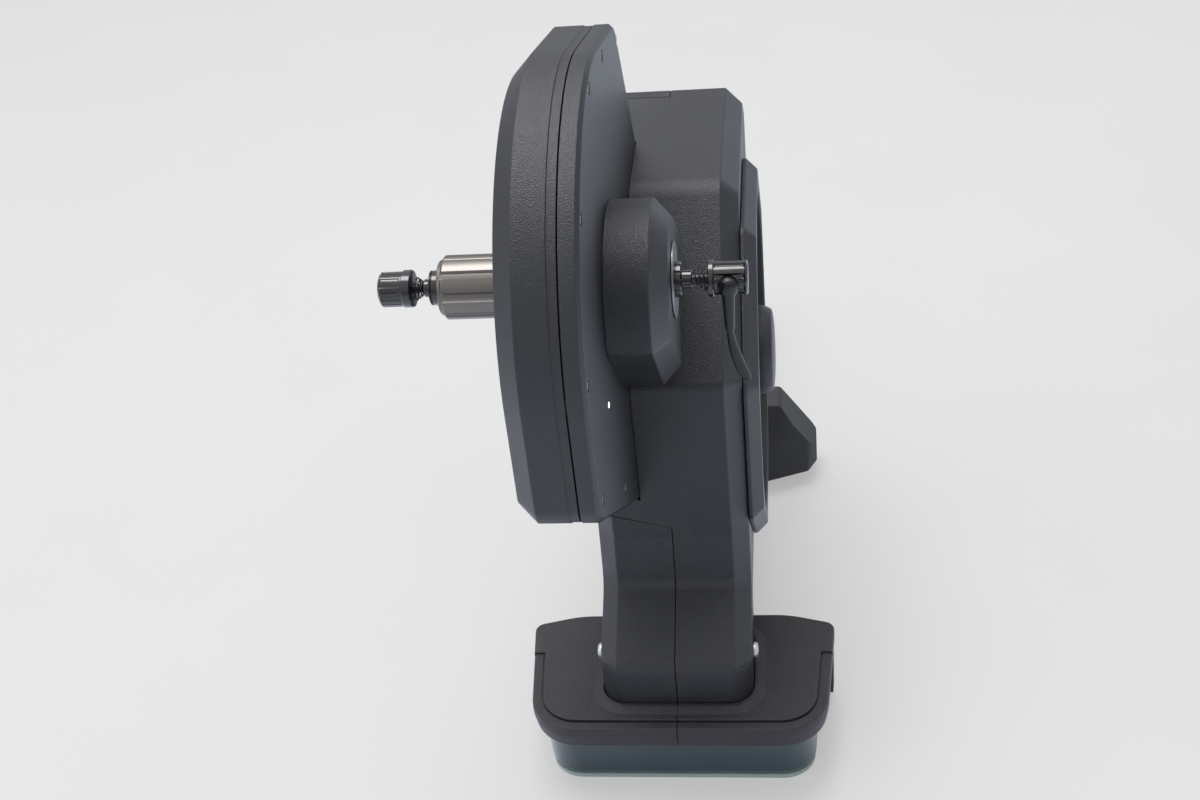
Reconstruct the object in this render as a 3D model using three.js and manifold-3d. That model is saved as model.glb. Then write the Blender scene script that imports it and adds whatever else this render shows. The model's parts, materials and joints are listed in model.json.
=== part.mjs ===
// Direct drive bike trainer: a bicycle stands on its axle in place of the rear wheel
// Millimetres, +X to the lever side, +Y to the rear, +Z up, origin on the floor under the front foot
import * as THREE from "three";
import { mergeVertices } from "three/addons/utils/BufferGeometryUtils.js";
import Module from "manifold-3d";

const wasm = await Module();
wasm.setup();

// Overall sizes
const axleHeight = 340;
const dropoutSpan = 135;
const leverFace = 19;
const driveFace = leverFace - dropoutSpan;
const gap = 0.3;
const overrun = 3;
const leastFillet = 0.6;
const fullShare = 0.97;
const taperShare = 0.8;
const arcFineness = 3;

// Axle, skewer and their small parts, along X
const axleRadius = 6;
const rodRadius = 2.5;
const boreClearance = 0.4;
const leverCapDepth = 4.5;
const leverStubLength = 5.5;
const driveCapDepth = 5.5;
const driveStubLength = 3.5;
const capRadius = 9.4;
const stubRadius = 4.9;
const capRibs = 12;
const capRibDepth = 0.8;
const washerRadius = 20.5;
const washerThickness = 0.9;
const nutGap = 9.5;
const nutLength = 19;
const nutRadius = 9.5;
const nutCollarLength = 5.5;
const nutCollarProud = 0.7;
const nutThreadDepth = 11;
const headGap = 14;
const headLength = 21;
const headRadius = 9;
const headFlangeLength = 3;
const headFlangeProud = 0.9;
const headFlutes = 8;
const headFluteRadius = 1.1;
const headDome = 2.2;
const springWire = 0.9;
const springCurls = 3;
const springSmallRadius = 3.6;
const springLargeRadius = 6.6;
const springSteps = 8;
const springSides = 5;

// Lever and its cam
const camBack = 10.5;
const camRadius = 5;
const camDepth = 14;
const leverRootRadius = 5.6;
const leverRootDepth = 4.5;
const rootTipShare = 0.6;
const leverLength = 57;
const leverThickness = 3.6;
const leverSweep = 8;
const leverCurl = 2.4;
const leverEdgeShare = 0.45;
const leverWidthShares = [0.78, 0.66, 0.6, 0.64, 0.74, 0.84, 0.8, 0.5];

// Freehub and drive pulley, round the axle
const freehubRadius = 17.3;
const freehubLength = 58;
const freehubSplines = 9;
const splineDepth = 1.3;
const splineWidth = 4.2;
const freehubChamfer = 2.5;
const freehubBearingLength = 10;
const beltWidth = 14;
const beltThickness = 3;
const beltClearance = 17;
const pulleyWeb = 5;
const pulleyRim = 8;
const pulleyHubLength = 28;
const pulleyHubRadius = 22;
const pulleyHoles = 6;
const pulleyHoleRadius = 19;
const hubBearingRadius = 14;
const hubBearingLength = 8;

// Belt cover, in two shells on the drive side
const coverRadius = 131;
const coverInnerFace = -17.5;
const coverDepth = 42;
const coverInnerDepth = 10.5;
const coverBevelDepth = 10;
const coverBevelInset = 12;
const coverEdge = 3;
const coverWall = 3;
const coverFloor = 4;
const coverHoleClearance = 1.4;
const screwHeadRadius = 2.9;
const screwHeadHeight = 2;
const screwShankRadius = 1.6;
const screwLength = 16;
const screwRecess = 2.6;
const screwPostRadius = 4.6;
const coverOutlineShares = [
  [-1, 1.203, 0.962], [0.84, 0.775, 0.168], [1.641, -0.58, 0.46],
  [1.641, -1.771, 0.61], [0.89, -1.771, 0.46], [-1, -0.448, 0.116],
];
const coverScrewShares = [
  [-0.939, 0.13], [-0.893, -0.412], [-0.672, 0.649], [-0.13, 0.9],
  [0.336, 0.832], [0.9, 0.672], [1.35, -0.18], [-0.267, -0.855], [0.7, -1.52], [1.49, -1.4],
];
const lightPlaceShares = [-0.489, -0.267];
const lightRadius = 1.8;
const lightLength = 6;

// Flywheel, its shaft and the brake inside it
const flywheelBack = 145;
const flywheelDrop = 140;
const flywheelRadius = 99;
const flywheelRim = 20;
const flywheelInner = 12;
const flywheelProud = 3.5;
const flywheelWeb = 7;
const flywheelWebSet = 4;
const flywheelHubRadius = 28;
const flywheelHubLength = 14;
const flywheelRings = 2;
const flywheelRingDepth = 1.2;
const shaftRadius = 8;
const shaftBearingRadius = 17.5;
const shaftBearingLength = 10;
const smallPulleyRadius = 17;
const capDomeRadius = 29;
const capDomeHeight = 13.5;
const capDomeRim = 4;
const brakePoles = 6;
const brakePoleWidth = 15;
const brakeGap = 3;
const brakeCoreRadius = 34;
const brakeWidth = 18;
const coilThickness = 6;
const coilLength = 26;

// Body shells, in side view round the flywheel and down the neck
const bodyHalfWidth = 46.5;
const bodyBevel = 10.5;
const bodyWall = 3;
const housingRadius = 128;
const housingReachShare = 1.0156;
const housingFloorShare = 0.953;
const housingShares = [
  [-0.273, 1.094, 0.07], [0.783, 1.094, 0.09], [housingReachShare, 0.922, 0.11],
  [housingReachShare, -0.508, 0.23], [0.602, -housingFloorShare, 0.16],
];
const neckFront = 21;
const slopeFootDrop = 84;
const kneeRise = 68;
const instepRise = 34;
const toeHeight = 87;
const toeFront = -30;
const toeBack = 38;
const neckBottom = 40;
const neckFillet = 8;
const seamHeight = 154;
const seamSlopeShare = 0.26;
const seamBack = 235;
const neckWrap = 60;
const bossRadius = 49;
const bossSink = 5.5;
const bossTilt = 0.66;
const bossShoulder = 5.7;
const bossFace = 14.5;
const bossBack = 74;
const bossFaceInset = 10;
const bossFaceBack = 49;
const noseSteps = 7;
const shroudRadius = 115;
const shroudProud = 9.5;
const shroudBevel = 7;
const shroudBore = 102.5;
const neckScrewBack = -4;
const neckScrewHeight = 76;
const neckScrewRadius = 5;
const neckScrewDome = 3.4;

// Steel frame
const plateLeft = -14;
const plateRight = -4;
const plateHalfHeight = 30;
const axleEyeRadius = 24;
const shaftEyeRadius = 24;
const postHalfWidth = 19;
const postRight = 8;
const postFront = -8;
const postDepth = 36;
const postInset = 7;
const railHalfWidth = 20;
const railBottom = 38;
const railTop = 64;
const railWall = 3;
const strutBack = 212;
const strutDepth = 35;

// Front foot
const baseHalfWidth = 85;
const baseFront = -41;
const baseBack = 44;
const baseTop = 37;
const baseWall = 4;
const baseFrontCorner = 22;
const baseBackCorner = 10;
const soleThickness = 3;
const soleInset = 1.5;
const footFrontHalfWidth = 92;
const footSideHalfWidth = 98;
const footBackHalfWidth = 62;
const footFront = -49;
const footSideBack = 40;
const footBack = 52;
const footTop = 53;
const footEdge = 2.5;
const footWall = 3;
const footFrontCorner = 25;
const footSideCorner = 5;
const footBackCorner = 20;
const footPanelInset = 7;
const footPanelRise = 1.4;
const footPanelBack = 17;
const collarWidth = 8.5;
const collarRise = 4;
const collarTopWidth = 2;
const collarGap = 2.5;
const skirtBottom = 7;
const skirtReach = 12;

// Folding rear legs, drawn folded, on upright pins
const legPinAcross = 33;
const legPinBack = 300;
const legPinRadius = 5;
const pinHeadProud = 2;
const legPinClearance = 0.3;
const bracketThickness = 6;
const bracketBottom = 14;
const bracketRadius = 16;
const knuckleRadius = 15;
const legTip = 522;
const legInner = 14;
const legRootShare = 0.6;
const legTipRound = 13;
const legOuter = 41;
const legTop = 50;
const legTipTop = 38;
const legBevel = 4;
const legSwing = 1.257;
const cheekTop = 66;
const cheekTopOuter = 64;
const cheekOuter = 91;
const cheekOuterHeight = 27;
const cheekBottom = 12;
const cheekFootFront = 243.5;
const cheekTopFront = 271.5;
const cheekCorner = 84;
const cheekCornerFront = 260;
const cheekOuterFront = 274;
const cheekBack = 298;
const cheekGap = 1;
const footDiscAcross = 27.5;
const footDiscInset = 16;
const footDiscRadius = 13;
const padHeight = 8;
const studRadius = 4;
const knobRadius = 15;
const knobBottom = 10.5;
const knobHeight = 7;
const knobRibs = 10;
const knobRibDepth = 0.9;

// Electronics
const boardThickness = 1.6;
const boardLength = 44;
const boardHeight = 40;
const boardPlaceShare = 0.42;
const boardPartHeight = 5;
const boardPartShares = [[0.1, 0.1, 0.35, 0.3], [0.55, 0.15, 0.3, 0.45], [0.15, 0.6, 0.25, 0.25]];
const inletRadius = 6;
const inletDepth = 12;
const inletPinShare = 0.35;
const inletHeight = 150;
const inletAcross = -24;

// Places worked out from the sizes above
const coverOuterFace = coverInnerFace - coverDepth;
const coverSeam = coverInnerFace - coverInnerDepth;
const drivePulleyRadius = coverRadius - coverWall - beltThickness - beltClearance;
const beltCentre = (coverOuterFace + coverSeam) / 2 + coverWall;
const beltLeft = beltCentre - beltWidth / 2;
const beltRight = beltCentre + beltWidth / 2;
const coverHoleRadius = freehubRadius + coverHoleClearance;
const freehubBearingRadius = capRadius + 2 * gap;
const flywheelOuter = bodyHalfWidth + flywheelProud;
const housingFloor = -flywheelDrop - housingFloorShare * housingRadius;
const slopeFoot = -slopeFootDrop;
const knee = housingFloor + kneeRise;
const instep = housingFloor + instepRise;
const nutRight = driveFace - nutGap;
const headLeft = leverFace + headGap;
const camAcross = headLeft + camBack;
const bracketTop = railTop;
const knuckleBottom = bracketBottom + bracketThickness + gap;
const knuckleTop = bracketTop - bracketThickness - gap;

// Materials
function finish(name, color, roughness, metalness) {
  return new THREE.MeshStandardMaterial({ name, color, roughness, metalness, flatShading: true });
}
const blackPlastic = finish("black_plastic", 0x1c1d20, 0.55, 0);
const glossBlack = finish("gloss_black", 0x0c0d0f, 0.25, 0);
const petrolSteel = finish("petrol_steel", 0x16434c, 0.3, 0.5);
const blackSteel = finish("black_steel", 0x24262a, 0.5, 0.6);
const brightSteel = finish("bright_steel", 0xb9bcc0, 0.3, 1);
const greyAlloy = finish("grey_alloy", 0x4b4644, 0.45, 0.8);
const paleRubber = finish("pale_rubber", 0xb9c2bd, 0.7, 0);
const blackRubber = finish("black_rubber", 0x151515, 0.85, 0);
const copper = finish("copper", 0xb87345, 0.4, 0.9);
const boardGreen = finish("board_green", 0x1f5a36, 0.6, 0);
const clearLight = finish("clear_light", 0xf4f6f8, 0.2, 0);

// Leaves one closed body with its faces out
function closed(geometry) {
  const bare = new THREE.BufferGeometry();
  bare.setAttribute("position", geometry.getAttribute("position"));
  bare.setIndex(geometry.getIndex());
  const merged = mergeVertices(bare);
  const corners = merged.getAttribute("position");
  const faces = [];
  let volume = 0;
  for (let i = 0; i < merged.index.count; i += 3) {
    const [a, b, c] = [0, 1, 2].map((k) => merged.index.getX(i + k));
    if (a === b || b === c || c === a) {
      continue;
    }
    const [p, q, r] = [a, b, c].map((k) => new THREE.Vector3().fromBufferAttribute(corners, k));
    volume += p.dot(q.cross(r));
    faces.push([a, b, c]);
  }
  merged.setIndex(faces.flatMap(([a, b, c]) => (volume < 0 ? [a, c, b] : [a, b, c])));
  return merged;
}

function toSolid(geometry) {
  const shape = closed(geometry);
  return new wasm.Manifold(new wasm.Mesh({
    numProp: 3,
    vertProperties: new Float32Array(shape.getAttribute("position").array),
    triVerts: new Uint32Array(shape.index.array),
  }));
}

function toGeometry(solid) {
  const mesh = solid.getMesh();
  const geometry = new THREE.BufferGeometry();
  geometry.setAttribute("position", new THREE.BufferAttribute(new Float32Array(mesh.vertProperties), 3));
  geometry.setIndex(new THREE.BufferAttribute(new Uint32Array(mesh.triVerts), 1));
  return geometry;
}

// The largest body alone, without the slivers that a cut can leave
function mainBody(geometry) {
  const bodies = toSolid(geometry).decompose();
  return toGeometry(bodies.reduce((best, body) => (body.volume() > best.volume() ? body : best)));
}

function join(...geometries) {
  return toGeometry(geometries.map(toSolid).reduce((whole, next) => whole.add(next)));
}

function cut(geometry, ...tools) {
  return toGeometry(tools.map(toSolid).reduce((whole, tool) => whole.subtract(tool), toSolid(geometry)));
}

function common(...geometries) {
  return toGeometry(geometries.map(toSolid).reduce((whole, next) => whole.intersect(next)));
}

// A closed outline through corners [across, up, radius], moved inwards by inset; radius 0 stays sharp
function outline(corners, inset = 0, setSteps = 0) {
  const count = corners.length;
  const point = (i) => new THREE.Vector2(...corners[(i + count) % count].slice(0, 2));
  const hand = Math.sign(THREE.ShapeUtils.area(corners.map((_, i) => point(i))));
  const edges = corners.map((_, i) => {
    const along = point(i + 1).sub(point(i)).normalize();
    return { start: point(i).add(new THREE.Vector2(-along.y, along.x).multiplyScalar(inset * hand)), along };
  });
  const bends = corners.map(([, , radius], i) => {
    const before = edges[(i - 1 + count) % count];
    const after = edges[i];
    const turn = before.along.cross(after.along);
    const reach = after.start.clone().sub(before.start).cross(after.along) / turn;
    const corner = before.start.clone().addScaledVector(before.along, reach);
    const round = Math.max(turn * hand > 0 ? radius - inset : radius + inset, leastFillet);
    const angle = Math.atan2(turn, before.along.dot(after.along));
    const back = round * Math.abs(Math.tan(angle / 2));
    return { corner, round, angle, back, before, radius };
  });
  const room = bends.map((bend, i) => {
    const next = bends[(i + 1) % count];
    return Math.min(1, (fullShare * bend.corner.distanceTo(next.corner)) / (bend.back + next.back));
  });
  return bends.flatMap(({ corner, round, angle, back, before, radius }, i) => {
    if (radius === 0) {
      return [corner];
    }
    const share = Math.min(room[i], room[(i - 1 + count) % count]);
    const steps = setSteps || Math.max(2, Math.round(Math.sqrt(radius / arcFineness)));
    const first = corner.clone().addScaledVector(before.along, -back * share);
    const inward = new THREE.Vector2(-before.along.y, before.along.x).multiplyScalar(Math.sign(angle));
    const middle = first.clone().addScaledVector(inward, round * share);
    return Array.from({ length: steps + 1 }, (_, k) => (
      first.clone().rotateAround(middle, (angle * k) / steps)
    ));
  });
}

// Joins outlines of equal length into one body; place says where a point of a ring lies
function loft(rings, place) {
  const count = rings[0].points.length;
  const positions = rings.flatMap(({ at, points }) => points.flatMap((p) => place(p.x, p.y, at)));
  const index = [];
  for (let k = 0; k + 1 < rings.length; k += 1) {
    for (let i = 0; i < count; i += 1) {
      const [a, b] = [k * count + i, k * count + ((i + 1) % count)];
      index.push(a, b, b + count, a, b + count, a + count);
    }
  }
  for (const [k, flip] of [[0, true], [rings.length - 1, false]]) {
    const points = rings[k].points;
    const hand = Math.sign(THREE.ShapeUtils.area(points));
    for (const face of THREE.ShapeUtils.triangulateShape(points, [])) {
      const same = Math.sign(THREE.ShapeUtils.area(face.map((i) => points[i]))) === hand;
      const [a, b, c] = face.map((i) => i + k * count);
      index.push(...(same === flip ? [a, c, b] : [a, b, c]));
    }
  }
  const geometry = new THREE.BufferGeometry();
  geometry.setAttribute("position", new THREE.Float32BufferAttribute(positions, 3));
  geometry.setIndex(index);
  return geometry;
}
const sideways = (back, up, at) => [at, back, up];
const upwards = (across, back, at) => [across, back, at];
const rearwards = (across, up, at) => [across, at, up];

// A body along X whose outline in side view is inset at each place
function sideBody(corners, places) {
  return loft(places.map(([at, inset]) => ({ at, points: outline(corners, inset) })), sideways);
}

function plan(corners, places) {
  return loft(places.map(([at, inset]) => ({ at, points: outline(corners, inset) })), upwards);
}

function block(low, high) {
  const size = high.map((value, i) => value - low[i]);
  const geometry = new THREE.BoxGeometry(...size);
  geometry.translate(...low.map((value, i) => value + size[i] / 2));
  return geometry;
}

// A turned body about the X axis from [radius, place along X]
function turned(profile, sides = 20) {
  const geometry = new THREE.LatheGeometry(profile.map(([r, x]) => new THREE.Vector2(r, x)), sides);
  geometry.rotateZ(-Math.PI / 2);
  return geometry;
}

function disc(radius, left, right, sides = 20) {
  return turned([[0, left], [radius, left], [radius, right], [0, right]], sides);
}

function tube(inner, outer, left, right, sides = 20) {
  return turned([[inner, left], [outer, left], [outer, right], [inner, right], [inner, left]], sides);
}

function upright(geometry) {
  geometry.rotateY(-Math.PI / 2);
  return geometry;
}

function moved(geometry, across, back, up) {
  geometry.translate(across, back, up);
  return geometry;
}

function mirrored(geometry) {
  const twin = geometry.clone();
  twin.scale(-1, 1, 1);
  return closed(twin);
}

// Even copies of a shape about the X axis
function around(count, shape, start = 0) {
  return Array.from({ length: count }, (_, i) => {
    const copy = shape();
    copy.rotateX(start + (2 * Math.PI * i) / count);
    return copy;
  });
}

const trainer = new THREE.Group();
const axleGroup = new THREE.Group();
axleGroup.position.z = axleHeight;
const flywheelGroup = new THREE.Group();
flywheelGroup.position.set(0, flywheelBack, -flywheelDrop);
axleGroup.add(flywheelGroup);
trainer.add(axleGroup);

function add(group, name, geometry, material) {
  const shape = closed(geometry);
  shape.computeVertexNormals();
  const mesh = new THREE.Mesh(shape, material);
  mesh.name = name;
  group.add(mesh);
  return mesh;
}

// Axle: a hollow tube clamped in the frame, with a cap at each end that carries a dropout
function buildAxle() {
  const leverEnd = leverFace - leverCapDepth;
  const bore = rodRadius + boreClearance;
  add(axleGroup, "axle", tube(
    bore, axleRadius, driveFace + driveCapDepth + gap, leverEnd - gap,
  ), brightSteel);
  const cap = turned([
    [bore, leverEnd], [capRadius, leverEnd], [capRadius, leverFace], [stubRadius, leverFace],
    [stubRadius, leverFace + leverStubLength], [bore, leverFace + leverStubLength], [bore, leverEnd],
  ]);
  const ribs = around(capRibs, () => moved(
    block([leverEnd - overrun, -capRibDepth, 0], [leverFace, capRibDepth, capRadius]),
    0, 0, capRadius - capRibDepth,
  ));
  add(axleGroup, "lever_end_cap", cut(cap, ...ribs), glossBlack);
  add(axleGroup, "drive_end_cap", turned([
    [bore, driveFace - driveStubLength], [stubRadius, driveFace - driveStubLength], [stubRadius, driveFace],
    [capRadius, driveFace], [capRadius, driveFace + driveCapDepth - gap],
    [bore, driveFace + driveCapDepth - gap], [bore, driveFace - driveStubLength],
  ]), glossBlack);
  add(axleGroup, "axle_washer", tube(
    capRadius + gap, washerRadius, bossFace + gap, bossFace + gap + washerThickness,
  ), brightSteel);
}

// Skewer: its rod runs through the hollow axle, from the fluted head to the nut
function conicalSpring(name, start, end, startRadius, endRadius) {
  const length = end - start;
  const turns = springCurls;
  const wire = springWire / 2;
  const rise = Math.sign(length) * wire;
  const steps = springSteps * turns;
  const centres = [];
  for (let i = 0; i <= steps; i += 1) {
    const share = i / steps;
    const angle = 2 * Math.PI * turns * share;
    const radius = startRadius + (endRadius - startRadius) * share;
    centres.push(new THREE.Vector3(
      start + rise + (length - 2 * rise) * share, radius * Math.cos(angle), radius * Math.sin(angle),
    ));
  }
  const last = centres.length - 1;
  centres.unshift(centres[0].clone().add(new THREE.Vector3(0, 0, -springWire)));
  centres.push(centres[last + 1].clone().add(new THREE.Vector3(0, 0, springWire)));
  const rings = centres.map((centre, i) => {
    const next = centres[Math.min(i + 1, centres.length - 1)];
    const along = next.clone().sub(centres[Math.max(i - 1, 0)]).normalize();
    const out = new THREE.Vector3(1, 0, 0).addScaledVector(along, -along.x).normalize();
    const side = out.clone().cross(along);
    return Array.from({ length: springSides }, (_, k) => {
      const turn = (2 * Math.PI * k) / springSides;
      const lifted = centre.clone().addScaledVector(out, wire * Math.cos(turn));
      return lifted.addScaledVector(side, wire * Math.sin(turn));
    });
  });
  let least = Infinity;
  rings.flat().forEach((point, i) => rings.flat().forEach((other, j) => {
    if (Math.abs(Math.floor(i / springSides) - Math.floor(j / springSides)) > springSteps / 2) {
      least = Math.min(least, point.distanceTo(other));
    }
  }));
  console.log(`${name}: least gap between curls ${least.toFixed(2)} mm`);
  const square = Array.from({ length: springSides }, (_, k) => {
    const turn = (2 * Math.PI * k) / springSides;
    return new THREE.Vector2(Math.cos(turn), Math.sin(turn));
  });
  return loft(
    rings.map((_, i) => ({ at: i, points: square })),
    (a, b, at) => rings[at][square.findIndex((p) => p.x === a && p.y === b)].toArray(),
  );
}

function buildSkewer() {
  const rodEnd = camAcross - camRadius - gap;
  const bore = rodRadius + gap;
  const nutLeft = nutRight - nutLength;
  add(axleGroup, "skewer_rod", disc(rodRadius, nutRight - nutThreadDepth + gap, rodEnd, 16), brightSteel);
  add(axleGroup, "skewer_nut", turned([
    [0, nutLeft], [nutRadius * taperShare, nutLeft], [nutRadius, nutLeft + nutCollarProud * 2],
    [nutRadius, nutRight - nutCollarLength], [nutRadius + nutCollarProud, nutRight - nutCollarLength],
    [nutRadius + nutCollarProud, nutRight - nutCollarProud], [nutRadius, nutRight],
    [bore, nutRight], [bore, nutRight - nutThreadDepth], [0, nutRight - nutThreadDepth],
  ]), glossBlack);
  const headRight = headLeft + headLength;
  const body = turned([
    [bore, headLeft], [headRadius + headFlangeProud, headLeft],
    [headRadius + headFlangeProud, headLeft + headFlangeLength], [headRadius, headLeft + headFlangeLength],
    [headRadius, headRight - headDome], [headRadius - headDome, headRight], [0, headRight],
    [0, camAcross], [bore, camAcross], [bore, headLeft],
  ]);
  const flutes = around(headFlutes, () => moved(
    disc(headFluteRadius, headLeft + headFlangeLength, headRight + overrun, 6), 0, 0, headRadius,
  ), Math.PI / headFlutes);
  const camBore = disc(camRadius + gap, -headRadius - overrun, camDepth - headRadius + gap, 24);
  camBore.rotateZ(Math.PI / 2);
  add(axleGroup, "skewer_head", cut(body, moved(camBore, camAcross, 0, 0), ...flutes), glossBlack);
  const leverSpring = conicalSpring(
    "lever_spring", leverFace + leverStubLength + gap, headLeft - gap, springSmallRadius, springLargeRadius,
  );
  const driveSpring = conicalSpring(
    "drive_spring", driveFace - driveStubLength - gap, nutRight + gap, springSmallRadius, springLargeRadius,
  );
  add(axleGroup, "lever_spring", leverSpring, brightSteel);
  add(axleGroup, "drive_spring", driveSpring, brightSteel);
}

// Lever: a cam shaft across the head, a domed root and a slim blade that curls outwards
function buildLever() {
  const front = -headRadius - gap;
  const cam = turned([
    [0, front - leverRootDepth], [leverRootRadius * rootTipShare, front - leverRootDepth],
    [leverRootRadius, front - leverRootDepth / 2], [leverRootRadius, front],
    [camRadius, front], [camRadius, front + camDepth], [0, front + camDepth],
  ], 24);
  cam.rotateZ(Math.PI / 2);
  const steps = leverWidthShares.length - 1;
  const rings = leverWidthShares.map((share, i) => {
    const along = i / steps;
    const half = leverRootRadius * share * taperShare;
    const edge = leverThickness * leverEdgeShare;
    const slab = outline([
      [-half, -leverThickness / 2, edge], [half, -leverThickness / 2, edge],
      [half, leverThickness / 2, edge], [-half, leverThickness / 2, edge],
    ], 0, 2);
    return { at: along, points: slab };
  });
  const blade = loft(rings, (across, back, along) => [
    across + leverSweep * along ** leverCurl, back + front - leverRootDepth / 2, -leverLength * along,
  ]);
  const lever = add(axleGroup, "skewer_lever", join(cam, blade), glossBlack);
  lever.position.x = camAcross;
}

// Freehub body: the cassette carrier, with shallow splines, turning on two bearings
function buildFreehub() {
  const left = driveFace + driveCapDepth;
  const right = left + freehubLength;
  const body = turned([
    [freehubBearingRadius, left], [freehubRadius - freehubChamfer, left],
    [freehubRadius, left + freehubChamfer], [freehubRadius, right],
    [freehubBearingRadius, right], [freehubBearingRadius, left],
  ], 28);
  const grooves = around(freehubSplines, () => moved(
    block([left - overrun, -splineWidth / 2, 0], [coverOuterFace, splineWidth / 2, 2 * splineDepth]),
    0, 0, freehubRadius - splineDepth,
  ));
  add(axleGroup, "freehub_body", cut(body, ...grooves), greyAlloy);
  const places = { outer: left, inner: right - freehubBearingLength };
  for (const [place, start] of Object.entries(places)) {
    add(axleGroup, `freehub_bearing_${place}`, tube(
      axleRadius + gap, freehubBearingRadius - gap, start + gap, start + freehubBearingLength - gap, 14,
    ), brightSteel);
  }
}

// Drive pulley: the large belt wheel beside the freehub, with lightening holes
function buildDrivePulley() {
  const hubLeft = driveFace + driveCapDepth + freehubLength + gap;
  const hubRight = hubLeft + pulleyHubLength;
  const webLeft = beltCentre - pulleyWeb / 2;
  const webRight = beltCentre + pulleyWeb / 2;
  const rimInner = drivePulleyRadius - pulleyRim;
  const wheel = turned([
    [hubBearingRadius, hubLeft], [pulleyHubRadius, hubLeft], [pulleyHubRadius, webLeft],
    [rimInner, webLeft], [rimInner, beltLeft], [drivePulleyRadius, beltLeft],
    [drivePulleyRadius, beltRight], [rimInner, beltRight], [rimInner, webRight],
    [pulleyHubRadius, webRight], [pulleyHubRadius, hubRight],
    [hubBearingRadius, hubRight], [hubBearingRadius, hubLeft],
  ], 28);
  const holeCentre = (rimInner + pulleyHubRadius) / 2;
  const holes = around(pulleyHoles, () => moved(
    disc(pulleyHoleRadius, beltCentre - pulleyWeb, beltCentre + pulleyWeb, 10), 0, 0, holeCentre,
  ));
  add(axleGroup, "drive_pulley", cut(wheel, ...holes), greyAlloy);
  const places = { outer: hubLeft, inner: hubRight - hubBearingLength };
  for (const [place, start] of Object.entries(places)) {
    add(axleGroup, `hub_bearing_${place}`, tube(
      axleRadius + gap, hubBearingRadius - gap, start + gap, start + hubBearingLength - gap, 16,
    ), brightSteel);
  }
}

// Belt: a flat loop laid round both pulleys along their common tangents
function buildBelt() {
  const distance = Math.hypot(flywheelBack, flywheelDrop);
  const heading = Math.atan2(-flywheelDrop, flywheelBack);
  const lean = Math.acos((drivePulleyRadius - smallPulleyRadius) / distance);
  const loop = (extra) => {
    const points = [];
    const bend = (back, up, radius, from, to, steps) => {
      for (let i = 0; i <= steps; i += 1) {
        const angle = from + ((to - from) * i) / steps;
        points.push(new THREE.Vector2(back + radius * Math.cos(angle), up + radius * Math.sin(angle)));
      }
    };
    bend(0, 0, drivePulleyRadius + extra, heading + lean, heading - lean + 2 * Math.PI, 28);
    bend(flywheelBack, -flywheelDrop, smallPulleyRadius + extra, heading - lean, heading + lean, 7);
    return points;
  };
  const slab = (extra, left, right) => loft(
    [left, right].map((at) => ({ at, points: loop(extra) })), sideways,
  );
  add(axleGroup, "drive_belt", cut(
    slab(beltThickness, beltLeft + gap, beltRight - gap), slab(gap, beltLeft - overrun, beltRight + overrun),
  ), blackRubber);
}

// Belt cover: its outline rounds the drive pulley, falls to the rear and rounds the flywheel end
const coverCorners = coverOutlineShares.map((row) => row.map((share) => share * coverRadius));
const screwPlaces = coverScrewShares.map((row) => row.map((share) => share * coverRadius));
const lightPlace = lightPlaceShares.map((share) => share * coverRadius);

function buildBeltCover() {
  const outerShell = sideBody(coverCorners, [
    [coverOuterFace, coverBevelInset], [coverOuterFace + coverBevelDepth, 0], [coverSeam - gap / 2, 0],
  ]);
  const outerRoom = sideBody(coverCorners, [
    [coverOuterFace + coverWall, coverBevelInset + coverWall],
    [coverOuterFace + coverBevelDepth + coverWall / 2, coverWall], [coverSeam + overrun, coverWall],
  ]);
  const posts = screwPlaces.map(([back, up]) => common(
    moved(disc(screwPostRadius, coverOuterFace + coverWall / 2, coverSeam - gap, 8), 0, back, up), outerShell,
  ));
  const screwEnd = coverInnerFace - screwRecess - screwLength - gap;
  const screwHoles = screwPlaces.map(([back, up]) => moved(
    disc(screwShankRadius + gap, screwEnd, coverInnerFace + overrun, 6), 0, back, up,
  ));
  const freehubHole = disc(coverHoleRadius, coverOuterFace - overrun, coverSeam, 28);
  const hollow = cut(outerShell, outerRoom, freehubHole);
  add(axleGroup, "belt_cover_outer", cut(join(hollow, ...posts), ...screwHoles), blackPlastic);

  const innerShell = sideBody(coverCorners, [
    [coverSeam + gap / 2, 0], [coverInnerFace - coverEdge, 0], [coverInnerFace, coverEdge],
  ]);
  const innerRoom = sideBody(coverCorners, [
    [coverSeam - overrun, coverWall], [coverInnerFace - coverFloor, coverWall],
  ]);
  const recesses = screwPlaces.map(([back, up]) => moved(
    disc(screwHeadRadius + gap, coverInnerFace - screwRecess, coverInnerFace + overrun, 8), 0, back, up,
  ));
  const axleHole = disc(pulleyHubRadius + gap, coverSeam - overrun, coverInnerFace + overrun, 24);
  const shaftHole = moved(
    disc(shaftEyeRadius + gap, coverSeam - overrun, coverInnerFace + overrun, 24),
    0, flywheelBack, -flywheelDrop,
  );
  const lightHole = moved(
    disc(lightRadius + gap, coverSeam, coverInnerFace + overrun, 12), 0, ...lightPlace,
  );
  add(axleGroup, "belt_cover_inner", cut(
    cut(innerShell, innerRoom), axleHole, shaftHole, lightHole, ...recesses, ...screwHoles,
  ), blackPlastic);

  const screw = () => turned([
    [0, -screwLength], [screwShankRadius, -screwLength], [screwShankRadius, 0],
    [screwHeadRadius, 0], [screwHeadRadius, screwHeadHeight / 2],
    [screwHeadRadius * taperShare, screwHeadHeight], [0, screwHeadHeight],
  ], 8);
  screwPlaces.forEach(([back, up], i) => {
    const mesh = add(axleGroup, `cover_screw_${i + 1}`, screw(), brightSteel);
    mesh.position.set(coverInnerFace - screwRecess + gap, back, up);
  });
  const light = add(axleGroup, "status_light", disc(lightRadius, -lightLength, gap, 12), clearLight);
  light.position.set(coverInnerFace, ...lightPlace);
}

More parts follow.
